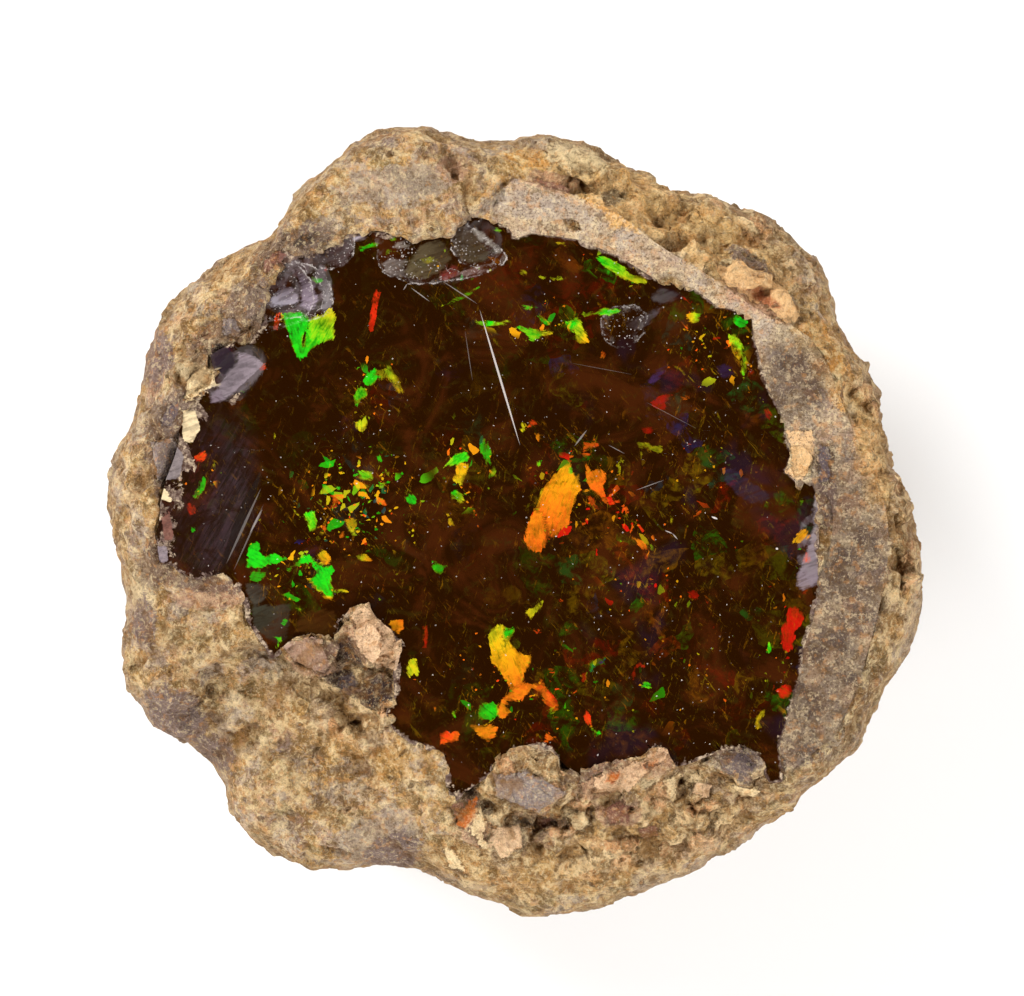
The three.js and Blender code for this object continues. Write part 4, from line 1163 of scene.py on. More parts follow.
    (0.5, 0.26, 1, "-14.5,17.2 -14.2,16.2 -14.3,14.4 -15.4,14.2 -16,13.7 -16.5,13 -17,13.1 -16.7,14.4 "
     "-16.5,15.3 -16.1,16.3 -15.2,16.5"),
    (0.82, 0.9, 0.9, "-18.7,16.9 -18.5,16.8 -18.6,16.1 -18.8,15.2 -19.2,15.2 -19.2,15.7 -19,16.5"),
    (0.27, 0.3, 0.75, "-12.5,21.7 -12.3,21.9 -11.1,22.2 -10.6,22 -11.1,21.8 -12.1,21.5"),
    (0.27, 0.3, 0.9, "-10,22.5 -9.6,22.9 -9.3,22.5 -9.8,22.3"),
    (0.28, 0.3, 0.5, "-16.3,19.5 -15.7,19.5 -15,19.3 -15.1,19 -15.9,18.9"),
    (0.95, 0.97, 0.6, "-15.2,20.1 -14.9,20.4 -14.6,19.9 -15,19.8"),
    (0.84, 0.9, 0.9, "-19.5,12.4 -19.9,12.7 -20.3,12.4 -20.4,12.1 -20,11.8"),
    (0.3, 0.3, 0.6, "-21.9,10.5 -21.5,10.6 -21.3,10.4 -21.5,10.2"),
    (0.84, 0.9, 0.9, "-24.6,5.8 -24.4,5.5 -24.5,4.9 -24.8,4.7 -25.6,4.9 -25.5,5.3 -25.1,5.3"),
    (0.26, 0.3, 0.55, "-24.8,3.8 -24.5,3.4 -24.6,2.6 -25.3,1.7 -25.6,2 -25.1,2.9"),
    (0.92, 0.9, 0.5, "-25.9,1.6 -25.2,1 -25.3,0.5 -25.8,0.4 -26.1,1.2"),
    (0.27, 0.3, 0.6, "-25.9,-0.3 -25.4,-0.4 -25.3,-0.8 -25.6,-0.9"),
    (0.46, 0.5, 0.4, "-24,4.7 -23.7,4.8 -23.7,4.2 -23.9,4.1"),
    (0.48, 0.5, 0.7, "-19.2,7 -19,7.1 -18.9,6.6 -19.2,6.2"),
    (0.25, 0.3, 0.85, "-11.2,12.3 -10.9,12.2 -10.8,11.5 -11,11.1 -11.5,10.7 -12,11 -12.1,11.3 "
     "-11.7,11.7"),
    (0.48, 0.5, 0.35, "-10.9,12 -10.4,12.1 -10.2,11.4 -10.7,11.2"),
    (0.4, 0.55, 0.75, "-10.3,12.5 -9.8,12.4 -9.4,11.7 -9.1,11 -8.8,10.4 -8.9,10 -9.3,10.3 -9.7,11 "
     "-10.2,11.5"),
    (0.38, 0.32, 0.7, "-12.3,10.8 -11.7,10.6 -11.6,10 -12.2,9.6 -12.5,9.1 -12.7,9.3 -12.8,9.9 "
     "-12.6,10.4"),
    (0.42, 0.5, 1, "-11.9,8.5 -11.7,8.1 -11.7,7.4 -12,7 -12.5,7.3 -12.8,7.9 -12.3,8"),
    (0.27, 0.27, 0.75, "-11,5.2 -10.7,5.3 -10.4,4.9 -10.7,4.5 -10.9,4.8"),
    (0.3, 0.3, 0.5, "-9.8,5.5 -9.5,5.2 -9.5,4.9 -9.7,5.1"),
    (0.35, 0.4, 0.85, "-12.6,4.1 -11.2,4 -11.2,3.3 -12.2,3.3"),
    (0.5, 0.5, 0.6, "-12.1,3 -11.4,3 -11.4,2.7 -12,2.6"),
    (0.3, 0.6, 0.85, "-10.4,4.3 -10,4 -9.7,3.6 -9.7,3.2 -9.9,3.2 -10,3.6 -10.3,3.9"),
    (0.35, 0.35, 0.75, "-10.9,2.8 -10.4,3.2 -10.1,3.1 -10.3,2.7 -10.8,2.7"),
    (0.35, 0.35, 0.5, "-12.4,2.2 -11.9,2.5 -11.2,2.5 -11.9,2.3"),
    (0.22, 0.22, 0.6, "-14.2,2.9 -13.7,2.9 -13.7,2.5 -14.1,2.5"),
    (0.82, 0.72, 0.95, "-14.6,2 -13.5,2.2 -13.5,1.9 -13.9,1.7 -14.2,1 -14.6,1 -14.4,1.6"),
    (0.68, 0.84, 1, "-11,2 -10.4,1.8 -10,1.4 -10.1,1.2 -10.5,1.2 -11,1.6"),
    (0.35, 0.35, 0.7, "-11.7,1.6 -11.1,2 -11.2,1.7 -11.6,1.5"),
    (0.24, 0.25, 0.75, "-8.5,2.2 -7.8,2.1 -7.7,1.7 -7.8,1.3 -8.1,1.3 -8.6,1.7"),
    (0.65, 0.5, 0.6, "-13.5,0.2 -12.7,0.4 -12.4,-0.1 -13.4,-0.3"),
    (0.3, 0.42, 0.9, "-3.7,5.7 -3.5,5 -3.6,4.7 -4.1,4.7 -4.7,4.5 -5.5,4.3 -5.8,3.7 -5.7,4.3 -5.2,4.8 "
     "-4.6,5.4"),
    (0.6, 0.5, 0.95, "-4.6,4.5 -3.9,4.8 -3.6,4.4 -3.8,3.7 -4.1,2.9 -4.3,2.7 -4.7,3.1 -4.9,3.4 -4.6,4"),
    (0.3, 0.5, 0.8, "-5.1,2.3 -4.7,2.6 -4.2,2.3 -3.8,1.6 -4.3,1.4 -4.6,1.8 -5,1.8"),
    (0.7, 0.84, 0.7, "-3.9,1.7 -3.8,1.7 -2.8,0.5 -3,0.4"),
    (0.5, 0.5, 0.6, "-4.9,1.4 -4.7,1.4 -4.7,0.9 -4.9,0.9"),
    (0.55, 0.55, 0.6, "-5.3,0.7 -4.8,0.1 -4.7,-0.3 -5.2,-0.3"),
    (0.3, 0.3, 0.5, "-2.4,6.7 -1.9,5.9 -1.8,4.8 -1.9,4.2 -2.3,4.8 -2.8,5.8"),
    (0.4, 0.4, 0.45, "-1.7,4.7 -1.4,4 -1.5,3.6 -2.1,3.4"),
    (0.65, 0.65, 0.8, "-8.2,7.6 -7.9,7.5 -8.1,7.3"),
    (0.5, 0.5, 0.6, "-9.5,13.2 -9.2,13 -9.5,12.8 -9.7,12.7"),
    (0.48, 0.76, 1, "-1.5,-8.3 -1,-8.1 -0.7,-8.4 -0.9,-9.1 -0.5,-9.4 -0.2,-9.4 -0.1,-9.9 0.6,-10.5 "
     "1,-10.6 1.3,-10.5 1.5,-11 1.2,-11.5 0.8,-12.1 0.8,-12.8 0.6,-13.3 -0.2,-13.4 -0.7,-12.7 "
     "-1.2,-11.9 -1.9,-11 -1.9,-10.2 -2.1,-9.4 -2,-8.7"),
    (0.72, 0.82, 0.95, "-0.2,-13.3 0.8,-12.8 1.3,-12.8 2,-12.8 2.1,-12.3 2.3,-12.7 2.7,-13.3 3.2,-14 "
     "3.7,-14.6 3.5,-15.1 3,-14.9 2.6,-14.5 2.1,-13.7 1.4,-13.3 0.9,-13.9 0.4,-14.3 -0.4,-14.2 "
     "-0.6,-14.6 -0.1,-15.1 -0.6,-15.5 -1.1,-15.8 -1.3,-15.1 -1.1,-14.3 -0.7,-13.8"),
    (0.84, 0.86, 0.8, "2.1,-12.9 2.7,-13.3 3.5,-14.3 3.6,-14.6 3.4,-14.9 2.7,-14"),
    (0.35, 0.35, 0.7, "2.6,-14.8 3.1,-14.8 3.2,-15.3 2.9,-15.4"),
    (0.32, 0.32, 0.8, "-0.9,-8.7 -0.7,-8.4 -0.2,-8.5 0.1,-8.3 -0.1,-9 -0.6,-9.3 -0.9,-9.1"),
    (0.46, 0.5, 0.7, "2,-5.7 2.1,-6.1 2.4,-6.3 2.2,-6.9 1.7,-7.3 1.4,-7.9 1.2,-7.5 0.9,-7.3 1,-7 "
     "1.8,-6.7"),
    (0.8, 0.88, 0.85, "1.4,-8.3 1.9,-8.5 2.4,-8.7 2.1,-8.9 1.5,-8.7"),
    (0.85, 0.92, 0.55, "-7.3,-8.2 -6.9,-8.2 -6.8,-9 -7,-10 -7.3,-10.2"),
    (0.3, 0.3, 0.6, "-4.5,-13.7 -4.2,-13.7 -4.4,-14.4 -4.5,-14"),
    (0.38, 0.38, 0.7, "-5,-15.3 -4.6,-14.7 -4.6,-15.7 -4.5,-15.9 -4.8,-15.7"),
    (0.28, 0.3, 0.8, "-2.7,-14.4 -1.7,-14.3 -1.3,-14.6 -1.3,-15.5 -1.8,-15.8 -2.8,-15.7 -2.9,-15.3"),
    (0.68, 0.74, 0.95, "-3.7,-16.2 -3.2,-16.2 -1.8,-16.1 -1.2,-16.1 -1.4,-16.5 -1.3,-16.9 -2.1,-17.5 "
     "-2.5,-17.3 -3.2,-16.6"),
    (0.86, 0.8, 1, "-6,-16.9 -5.4,-16.6 -5,-16.8 -4.4,-16.5 -4.3,-16.9 -4.3,-17.5 -5.2,-17.6 "
     "-5.9,-17.8 -5.9,-17.3"),
    (0.74, 0.74, 0.7, "-6.5,-14.7 -6.2,-14.5 -6.1,-14.9 -6.3,-15.3"),
    (0.75, 0.75, 0.75, "0.5,-16.8 1.1,-17 1,-17.2 0.6,-17.1"),
    (0.8, 0.76, 0.95, "2.5,-16.5 2.9,-17 3.5,-17.2 3.1,-17.4 2.4,-17.6 2.5,-17.1"),
    (0.85, 0.85, 0.6, "4,-16.6 4.3,-16.6 4.1,-16.8"),
    (0.88, 0.86, 1, "5.7,-14.9 6,-15.2 6.1,-15.7 6.2,-16.2 5.6,-16.1 5.5,-15.5"),
    (0.3, 0.3, 0.8, "6,-16.5 6.7,-16.5 7.1,-17 6.4,-17"),
    (0.1, 0.1, 0.35, "5.9,-11.1 6.5,-11 6.4,-11.9 6,-12"),
    (0, 0, 0.3, "6.5,-10.8 7.3,-10.8 7.2,-11.4 6.5,-11.4"),
    (0.82, 0.82, 0.7, "4.6,-13.6 5.1,-13.2 5,-13.7"),
    (0.93, 0.93, 0.35, "5.3,-11.9 5.7,-11.9 5.8,-12.7 5.4,-12.8"),
    (0.86, 0.86, 0.6, "3.6,-6.1 4,-6.1 4,-6.5 3.7,-6.4"),
    (0.9, 0.9, 0.6, "6.4,-6.5 6.9,-6.5 6.9,-6.9"),
    (0.5, 0.5, 0.7, "-6.5,-6.4 -6,-6.4 -6,-6.6 -6.4,-6.5"),
    (0.95, 0.99, 0.85, "21.7,-6.9 22.4,-6.6 22.9,-7.2 23.2,-7.8 22.7,-8.4 22.3,-8.7 22.4,-9.1 "
     "22.1,-10.2 21.7,-10.7 21.4,-10 21.1,-9.2 21.2,-8.4 21.6,-7.8"),
    (0.82, 0.86, 0.8, "21.8,-7.3 22.6,-7.5 23.4,-7.8 23.3,-7.9 22.5,-7.7"),
    (0.94, 0.97, 0.9, "20.8,-13.4 21.2,-13.1 21.8,-12.8 22.1,-13.1 22.1,-13.8 21.7,-14.1 21.1,-14"),
    (0.33, 0.33, 0.9, "20.1,-9.5 20.5,-9.5 20.6,-10.2 20.3,-10.5 20,-10.4 20.2,-9.9"),
    (0.28, 0.28, 0.5, "20.4,-12.1 21.2,-12.2 20.7,-12.4"),
    (0.45, 0.45, 0.5, "20,-11.9 20.3,-12.6 20.4,-12.9 20,-12.8"),
    (0.33, 0.33, 0.65, "10.1,-12.9 10.5,-12.6 10.9,-12.9 11,-13.2 10.1,-13.2"),
    (0.28, 0.28, 0.5, "13.1,-13 13.5,-12.9 13.5,-13.2"),
    (0.5, 0.55, 0.65, "19.8,-14.9 20.1,-14.9 20,-15.3 19.5,-15.9 19.8,-16.5 19.3,-16.5 19.1,-16.2 "
     "19.2,-15.5"),
    (0.82, 0.82, 0.8, "16.5,-14 16.9,-14 16.9,-14.4 16.6,-14.4"),
    (0.7, 0.7, 0.75, "15.2,-12.1 15.4,-12.1 15.4,-12.6 15.3,-12.5"),
    (0.55, 0.55, 0.6, "15.3,-12.8 15.7,-12.8 15.5,-12.9"),
    (0.72, 0.72, 0.7, "15.9,-14.6 16,-14.6 16,-14.9"),
    (0.35, 0.35, 0.5, "11.5,-9.1 11.9,-9.1 11.7,-9.5"),
    (0.93, 0.93, 0.5, "13.9,-5.4 14.5,-5.8 14.9,-6.5 14.4,-6.2"),
    (0.85, 0.88, 0.6, "14.9,-5.5 15.3,-6.1 15.7,-6.4 15.4,-6.5"),
    (0.93, 0.93, 0.5, "9.3,-12.1 9.8,-11.2 10.5,-11.3 10.5,-11.8 10,-11.6 9.5,-12.6"),
    (0.4, 0.4, 0.7, "-15.7,1.8 -15.2,1.8 -15.2,1.3 -15.6,1.3"),
    (0.4, 0.5, 0.6, "-15.4,2.8 -14.7,2.8 -14.9,2.3"),
    (0.35, 0.4, 0.6, "-3.1,16 -1.5,15.9 -1.6,15.5 -3,15.6"),
    (0.32, 0.4, 0.75, "-0.2,15.7 2.8,15.1 1.3,14.2 1,14.9"),
    (0.35, 0.45, 0.6, "1.8,17 2.9,15.7 2.5,15.6"),
    (0.3, 0.6, 1, "3.9,15.9 5.3,16.2 6,14.2 5,14.1 4.8,15.1"),
    (0.5, 0.5, 0.6, "3.3,22.3 4.2,22.2 4,21.9 3.4,22"),
    (0.5, 0.55, 0.5, "-13.4,0 -12.4,0.1 -12.6,-0.6 -13.3,-0.5"),
    (0.32, 0.4, 1, "-16.7,0.7 -15.9,0.8 -15.6,-0.2 -15.7,-0.8 -16.3,-0.8 -16.5,0"),
    (0.5, 0.5, 0.8, "-17.8,1.1 -17.4,1 -16.8,0.2 -17,0.1"),
    (0.3, 0.5, 0.85, "6.2,21.1 7.2,21.1 8.7,20.4 9.1,19.8 10.6,19.3 10.7,18.8 9.6,19 8.2,19.5 "
     "6.9,20.5"),
]


def along_and_across(points, outline):
    """Places on an outline's own axis, from its first corner to the one furthest from it: the
    share of the way along, and the distances along and across in millimetres."""
    corners = corners_of(outline)
    away = np.linalg.norm(corners - corners[0], axis=1)
    axis = (corners[away.argmax()] - corners[0]) / away.max()
    along = (points - corners[0]) @ axis
    across = (points - corners[0]) @ np.array((-axis[1], axis[0]))
    return np.clip(along / away.max(), 0, 1), along, across


points = np.array([vertex.co[:2] for vertex in core.verts]) / MM
inside = np.full(len(points), FAR_OUTSIDE)
hue = np.zeros(len(points))
glow = np.zeros(len(points))
flash_along = np.zeros(len(points))
flash_across = np.zeros(len(points))
for start_hue, end_hue, brightness, outline in FLASHES:
    distance = inside_distance(points, outline)
    nearer = distance > inside
    inside[nearer] = distance[nearer]
    share, along, across = along_and_across(points[nearer], outline)
    hue[nearer] = start_hue + (end_hue - start_hue) * share
    glow[nearer] = brightness
    flash_along[nearer] = along
    flash_across[nearer] = across
print(len(FLASHES), "flashes")

# %% [markdown]
# ## Facets
# Inside the chips the opal isn't one colour. Broken glass shows flat and bent facets, and each one
# mirrors or lets through something else: grey, brown, olive or amber. The grey and lilac ones are
# painted reflections, the brown, olive and amber ones the opal's own colour. They are outlined like
# the flashes, with the colour at the first corner and at the far end.

# %% Facet outlines
FACETS = [
    # colour at the start, colour at the end, strength, corners as x,y in millimetres
    (srgb(190, 182, 196), srgb(120, 104, 112), 0.85, "-19.2,17 -18.2,17.2 -17.1,17.2 -17.1,18 "
     "-17.7,18.8 -18.5,18.8 -19.3,17.8 -19.5,17.2"),
    (srgb(152, 136, 150), srgb(62, 46, 50), 0.85, "-16.3,16.8 -15.8,17 -15.5,17.7 -15.7,18.3 "
     "-16.1,19.2 -16.7,20 -17.6,20 -17.1,19.1 -16.9,18 -17,17"),
    (srgb(132, 124, 126), srgb(50, 38, 36), 0.7, "-15.1,16.7 -14.4,16.9 -14.3,17.9 -14.6,19.1 "
     "-15.5,20.1 -16.1,19.8 -15.5,18.5 -15.2,17.7 -15.6,16.9"),
    (srgb(120, 104, 106), srgb(56, 40, 40), 0.7, "-18.1,21.1 -17.6,21.3 -16.7,20.7 -16.6,20.1 "
     "-17.7,20.1 -18.1,20.5"),
    (srgb(80, 62, 62), srgb(34, 20, 16), 0.8, "-12.6,22.4 -12.7,21.7 -13.1,20.7 -13.7,20.2 -14.9,20.4 "
     "-16.3,20.7 -15.5,21.3 -14.7,21.9 -14.1,22.8 -13.1,23"),
    (srgb(196, 184, 196), srgb(150, 130, 130), 0.7, "-12.8,22.7 -12.1,23 -11.6,22.7 -11.9,22.3 "
     "-12.6,22.2"),
    (srgb(150, 134, 142), srgb(122, 106, 116), 0.85, "-19.9,12.7 -20.3,12.1 -21.2,11.5 -21.7,10.8 "
     "-22.5,10 -23.3,9.4 -24.2,9.4 -24.3,10.2 -23.3,11 -22.4,11.5 -22,12.3 -22,13.6 -21,13.4"),
    (srgb(62, 34, 56), srgb(40, 20, 34), 0.95, "-24.5,13.2 -23.1,14.1 -22.4,14.1 -22,13.1 -22.5,12.1 "
     "-23.1,11.5 -23.8,11.7 -24,12.7"),
    (srgb(140, 126, 126), srgb(118, 104, 112), 1, "23.9,2.8 25.4,2.5 25.6,0.3 25.6,-1.2 25.3,-2.7 "
     "25,-4.7 22.9,-5.5 22.3,-5 22.6,-4 23,-3 23.3,-2 23.6,-1 23.8,0.5"),
    (srgb(74, 70, 60), srgb(44, 30, 22), 0.7, "-20.8,-6.7 -19.8,-6.4 -19.2,-5 -20.6,-4.9 -21.5,-4.8 "
     "-21.2,-6"),
    (srgb(64, 66, 54), srgb(40, 30, 20), 0.6, "-20.9,-6.8 -19.8,-6.6 -17.6,-6.4 -17.8,-8.1 -18,-9.5 "
     "-18.8,-9.8 -19.9,-9.2 -20.8,-8.3"),
    (srgb(70, 40, 12), srgb(56, 30, 8), 0.6, "-17.1,-7.4 -15.7,-6.9 -14.2,-7 -14,-8.3 -14.2,-9.6 "
     "-15.2,-9.2 -16.4,-8.9 -17.6,-8.8"),
    (srgb(98, 86, 62), srgb(70, 58, 40), 0.7, "-8.5,20.6 -7.5,22 -5.9,22.5 -5.3,22 -4.9,21 -5.5,20.1 "
     "-6.9,19.3 -8.1,19.3 -8.9,19.9"),
    (srgb(150, 138, 128), srgb(96, 86, 76), 0.7, "-9.7,21.9 -9.1,22.3 -7.9,22.4 -7.7,22.1 -8.5,21.8 "
     "-9.5,21.7"),
    (srgb(128, 116, 110), srgb(70, 62, 56), 0.7, "-10.5,20.5 -9.9,21 -8.5,20.9 -8.6,20.1 -8.5,19.3 "
     "-9.5,19.4 -10.3,19.8"),
    (srgb(74, 60, 48), srgb(64, 54, 34), 0.8, "-4.7,23.3 -3.9,23.6 -2.7,22.5 -1.9,21.5 -2.2,20.6 "
     "-3.5,20.4 -4.5,20.9 -4.9,22"),
    (srgb(124, 46, 42), srgb(92, 36, 28), 0.75, "-6.2,19.3 -5.5,20 -4.8,20.5 -4.1,20.2 -4.5,19.6 "
     "-5.5,19"),
    (srgb(116, 92, 86), srgb(92, 70, 62), 0.7, "-4,20.2 -2.5,20.3 -2,20.3 -2.5,19.7 -4.1,19.4 "
     "-4.5,19.5"),
    (srgb(150, 142, 132), srgb(120, 110, 100), 0.7, "-3.5,23.5 -3,23.4 -2,22.7 -1.1,21.8 -0.9,21.3 "
     "-1.3,21.1 -1.9,21.8 -2.9,22.4"),
    (srgb(128, 122, 124), srgb(88, 82, 80), 0.25, "10.8,18.2 11.9,18.6 12.7,18.4 13.3,18 12.7,17.5 "
     "11.9,17.2 10.8,17.6"),
    (srgb(126, 120, 128), srgb(70, 60, 58), 0.25, "12.1,17.2 11.2,16.9 10.3,16.5 9.3,16.1 8.5,15.8 "
     "8.9,15.4 10,15.2 10.8,15.6 11.4,16.5"),
    (srgb(64, 40, 84), srgb(44, 28, 56), 0.6, "10.6,11.2 11.2,12 12.1,12.8 12.4,12.4 11.7,11.4 "
     "10.8,10.7"),
    (srgb(50, 34, 74), srgb(38, 24, 46), 0.5, "15.9,12.2 16.8,12.6 17.6,12 17.5,11.5 16.6,11.2"),
    (srgb(52, 40, 66), srgb(40, 38, 48), 0.45, "16.3,4.3 17.6,4.3 18.8,3.3 20,2.5 20.6,1.5 19,1.3 "
     "17.8,1.9 16.8,3.1"),
]
facet = np.full(len(points), FAR_OUTSIDE)
facet_share = np.zeros(len(points))
facet_colour = np.zeros((len(points), 3))
for start_colour, end_colour, strength, outline in FACETS:
    distance = inside_distance(points, outline)
    nearer = distance > facet
    facet[nearer] = distance[nearer]
    facet_share[nearer] = strength
    share = along_and_across(points[nearer], outline)[0][:, None]
    facet_colour[nearer] = np.array(start_colour) * (1 - share) + np.array(end_colour) * share
facet_tint = core.verts.layers.float_color.new("facet_colour")
for vertex, tint in zip(core.verts, facet_colour):
    vertex[facet_tint] = (*tint, 1)
print(len(FACETS), "facets")

# %% [markdown]
# ## Fields of flecks
# Between the large flashes there are swarms of tiny ones. They are far too many to outline, so
# each swarm is an ellipse with a density and a range of hues, and the material scatters flecks
# in it.

# %% Fleck fields
FLECK_FIELDS = [
    # x, y, half length, half width, turn, density, hue
    (-12.4, 1.6, 6, 4.8, 0, 1, 0.42),
    (-17, -3.5, 4.6, 3.8, -20, 0.7, 0.35),
    (-11.5, 10.5, 3, 3.6, 0, 0.55, 0.45),
    (-4, 4, 2.6, 4.6, 0, 0.6, 0.45),
    (4.5, 2.5, 5.4, 5.2, 0, 0.65, 0.72),
    (2, 16, 8, 2, 0, 0.5, 0.4),
    (16, 14, 4.4, 4.4, 0, 0.55, 0.5),
    (14, 4, 7, 7.6, 0, 0.35, 0.75),
    (10.5, -5, 9, 4.5, -30, 0.4, 0.8),
    (1, -13, 9.5, 5, 0, 0.55, 0.6),
    (14, -13, 8, 5.6, 0, 0.3, 0.6),
    (9.4, -0.4, 4.4, 1, -49, 0.85, 0.7),
    (-4, 19.8, 5, 3, 0, 0.3, 0.4),
    (21.6, -9, 1.8, 8, 6, 0.6, 0.85),
    (-9.8, -4.6, 7, 4.4, 0, 0.2, 0.6),
    (8.5, 20, 4, 1.6, -20, 0.6, 0.5),
    (-25, 3.5, 1.6, 3.4, 0, 0.6, 0.6),
]
density = np.zeros(len(points))
fleck_hue = np.full(len(points), 0.6)
for x, y, length, width, turn, crowd, field_hue in FLECK_FIELDS:
    angle = math.radians(turn)
    east, north = points[:, 0] - x, points[:, 1] - y
    along = (east * math.cos(angle) + north * math.sin(angle)) / length
    across = (north * math.cos(angle) - east * math.sin(angle)) / width
    share = np.clip(1.25 - np.hypot(along, across), 0, 1) * crowd
    stronger = share > density
    density[stronger] = share[stronger]
    fleck_hue[stronger] = field_hue
print(len(FLECK_FIELDS), "fields of flecks")

# %% [markdown]
# ## Lips of the chips
# Where a chip breaks out of the polished face, its edge catches the light as a thin white line.
# These are closed outlines, so that the distance from them changes sign at the line, which the
# material then finds by how near to zero the distance is. Parts that run under the rock don't
# show.

# %% Lip outlines
LIPS = [
    "-10.7,20.4 -10.4,19.9 -9.9,19.5 -9.1,19.3 -8.2,19 -7.2,18.9 -6.1,19 -5.1,19.2 -3.9,19.4 -2.9,19.6 "
    "-1.9,20 -1.1,20.3 -0.7,20.8 -0.6,21.1 -1.2,21.8 -2,22.4 -2.7,22.9 -3.5,23.5 -4,27 -12,27",
    "-5.4,25 -4.9,23 -5,21.8 -4.3,20.6 -3,20.2 -1.6,20.6 -1.3,21.5 -2.4,22.5 -3.7,23.5",
    "-16.3,20.4 -15,19.7 -14.5,18.4 -14.4,16.6 -21,14.6 -22,22",
    "-12.7,23.4 -12.7,21.9 -12.9,21 -13.7,20.2 -15.4,20.1 -17,25",
    "-17.2,20.4 -16.2,19.2 -15.9,17.6 -16.5,16.4 -21,15.6 -21,21",
    "6.9,16 7.1,14.6 8,13.9 9.2,13.9 10.3,15 10.6,16.4 9.6,17.2 7.8,17",
]
lip = np.full(len(points), -FAR_OUTSIDE)
for outline in LIPS:
    distance = inside_distance(points, outline)
    nearer = abs(distance) < abs(lip)
    lip[nearer] = distance[nearer]
shard_inside, shard_number = shard_layout(points)
shard_inside[np.array([vertex.co.z for vertex in core.verts]) < 25 * MM] = FAR_OUTSIDE
store_shards(core, shard_inside, shard_number)
print(len(LIPS), "lips")

# %% [markdown]
# ## Storing it all on the opal
# Everything that was worked out per point is written to the mesh as attributes, which the
# material reads by name.

# %% Opal object
for name, values in (("flash_inside", inside), ("flash_hue", hue), ("flash_glow", glow),
                     ("flash_along", flash_along), ("flash_across", flash_across),
                     ("facet", facet), ("facet_share", facet_share),
                     ("fleck_density", density), ("fleck_hue", fleck_hue), ("lip", lip)):
    layer = core.verts.layers.float.new(name)
    for vertex, value in zip(core.verts, values):
        vertex[layer] = value
opal = add_piece(core, "precious_opal", "opal", 24)

# %% [markdown]
# ## The opal's finish
# The body is a brown so dark that it looks black until light falls on it, with rusty and olive
# veils. The colours go on as base colour with a little glow of their own, because an opal sends
# back more light in its flash than any paint. The surface is polished, a little dusty, crossed
# by hairline scratches, and rippled in the chips.

# %% Colours and scratches of the opal
BODY = srgb(31, 11, 0)
RUST = srgb(66, 28, 7)
OLIVE = srgb(48, 36, 6)
VIOLET = srgb(32, 19, 34)
SHEEN_GREY = srgb(54, 39, 43)
SHADE = srgb(30, 22, 20)
HUES = [
    (0.0, srgb(26, 46, 150)), (0.12, srgb(0, 118, 80)), (0.22, srgb(4, 172, 26)),
    (0.36, srgb(40, 184, 16)), (0.5, srgb(172, 172, 20)), (0.62, srgb(208, 148, 14)),
    (0.78, srgb(204, 98, 16)), (0.9, srgb(198, 50, 14)), (1.0, srgb(172, 18, 8)),
]
HAIRS = [
    # x, y at both ends, half width, brightness: the long needle first, then hair scratches, and
    # the lit ridges in the hollow
    (-22.9, -3.4, -20.1, 2.7, 0.1, 0.14), (-22.3, -3.9, -19.9, 1.4, 0.06, 0.14),
    (-20, 1, -21, -0.9, 0.1, 0.2), (-8.2, 18.6, -6.7, 17.5, 0.04, 0.35),
    (-8.8, 18.4, -8.5, 18.9, 0.04, 0.35), (-8.5, 18.9, -8.1, 18.9, 0.04, 0.35),
    (4.8, 6, 5.8, 7.3, 0.07, 0.25), (9.7, 2.5, 11.9, 3.3, 0.03, 0.3),
    (12, -0.7, 12.6, -0.95, 0.04, 0.6), (12.6, -0.95, 13, -1.4, 0.04, 0.6),
    (7.5, 6.1, 8.8, 5.4, 0.03, 0.25), (15.7, 0.4, 16.2, 0.2, 0.07, 0.9),
    (20.8, -2.1, 21, -2.2, 0.08, 0.9),
    (-2.75, 16.9, 0.5, 6.0, 0.08, 0.7), (-2.9, 17.3, -5.8, 19.2, 0.04, 0.25),
    (-3.9, 15.2, -3.3, 11.2, 0.03, 0.15), (10.5, 9.5, 14.5, 7.4, 0.02, 0.15),
    (4.6, 12.6, 9.4, 11.7, 0.02, 0.12),
]
# a dark furrow in the big hollow, given like a hair
GROOVE = (-23.3, -3.8, -20.1, 4.1, 0.42, 0.8)
SLIVERS = [
    # width in millimetres, how many times longer, turn in degrees, share of the cells that shine
    (0.6, 1.7, 35, 0.09), (0.42, 2, -40, 0.1), (0.24, 2, 80, 0.09), (0.15, 1.6, 10, 0.05),
]


def hue_ramp(g, hue):
    """The spectrum of flashes as a colour ramp."""
    made = g.node("ShaderNodeValToRGB", None, {"Fac": hue})
    stops = made.node.color_ramp.elements
    stops[0].color = (*HUES[0][1], 1)
    stops[1].color = (*HUES[-1][1], 1)
    for place, colour in HUES[1:-1]:
        stops.new(place).color = (*colour, 1)
    return made.out("Color")


def hair(g, x, y, line):
    """A thin line from end to end, widest in the middle."""
    x0, y0, x1, y1, half_width, brightness = line
    length = math.hypot(x1 - x0, y1 - y0)
    east, north = (x1 - x0) / length, (y1 - y0) / length
    along = ((x - x0) * east + (y - y0) * north) / length
    across = abs((y - y0) * east - (x - x0) * north)
    taper = (4 * along * (1 - along)).most(0)
    return (taper * half_width - across).ramp(-0.02, 0.02) * taper.ramp(0, 0.1) * brightness


print(len(HAIRS), "hair lines")

# %% [markdown]
# ## The opal's material
# The brown body comes first, then the painted grey reflections in the hollows and the facets, the
# flecks and the flashes, and last what lies on the surface: scratches, crusts, crumbs and shards,
# with the painted highlight along the chips' lips.


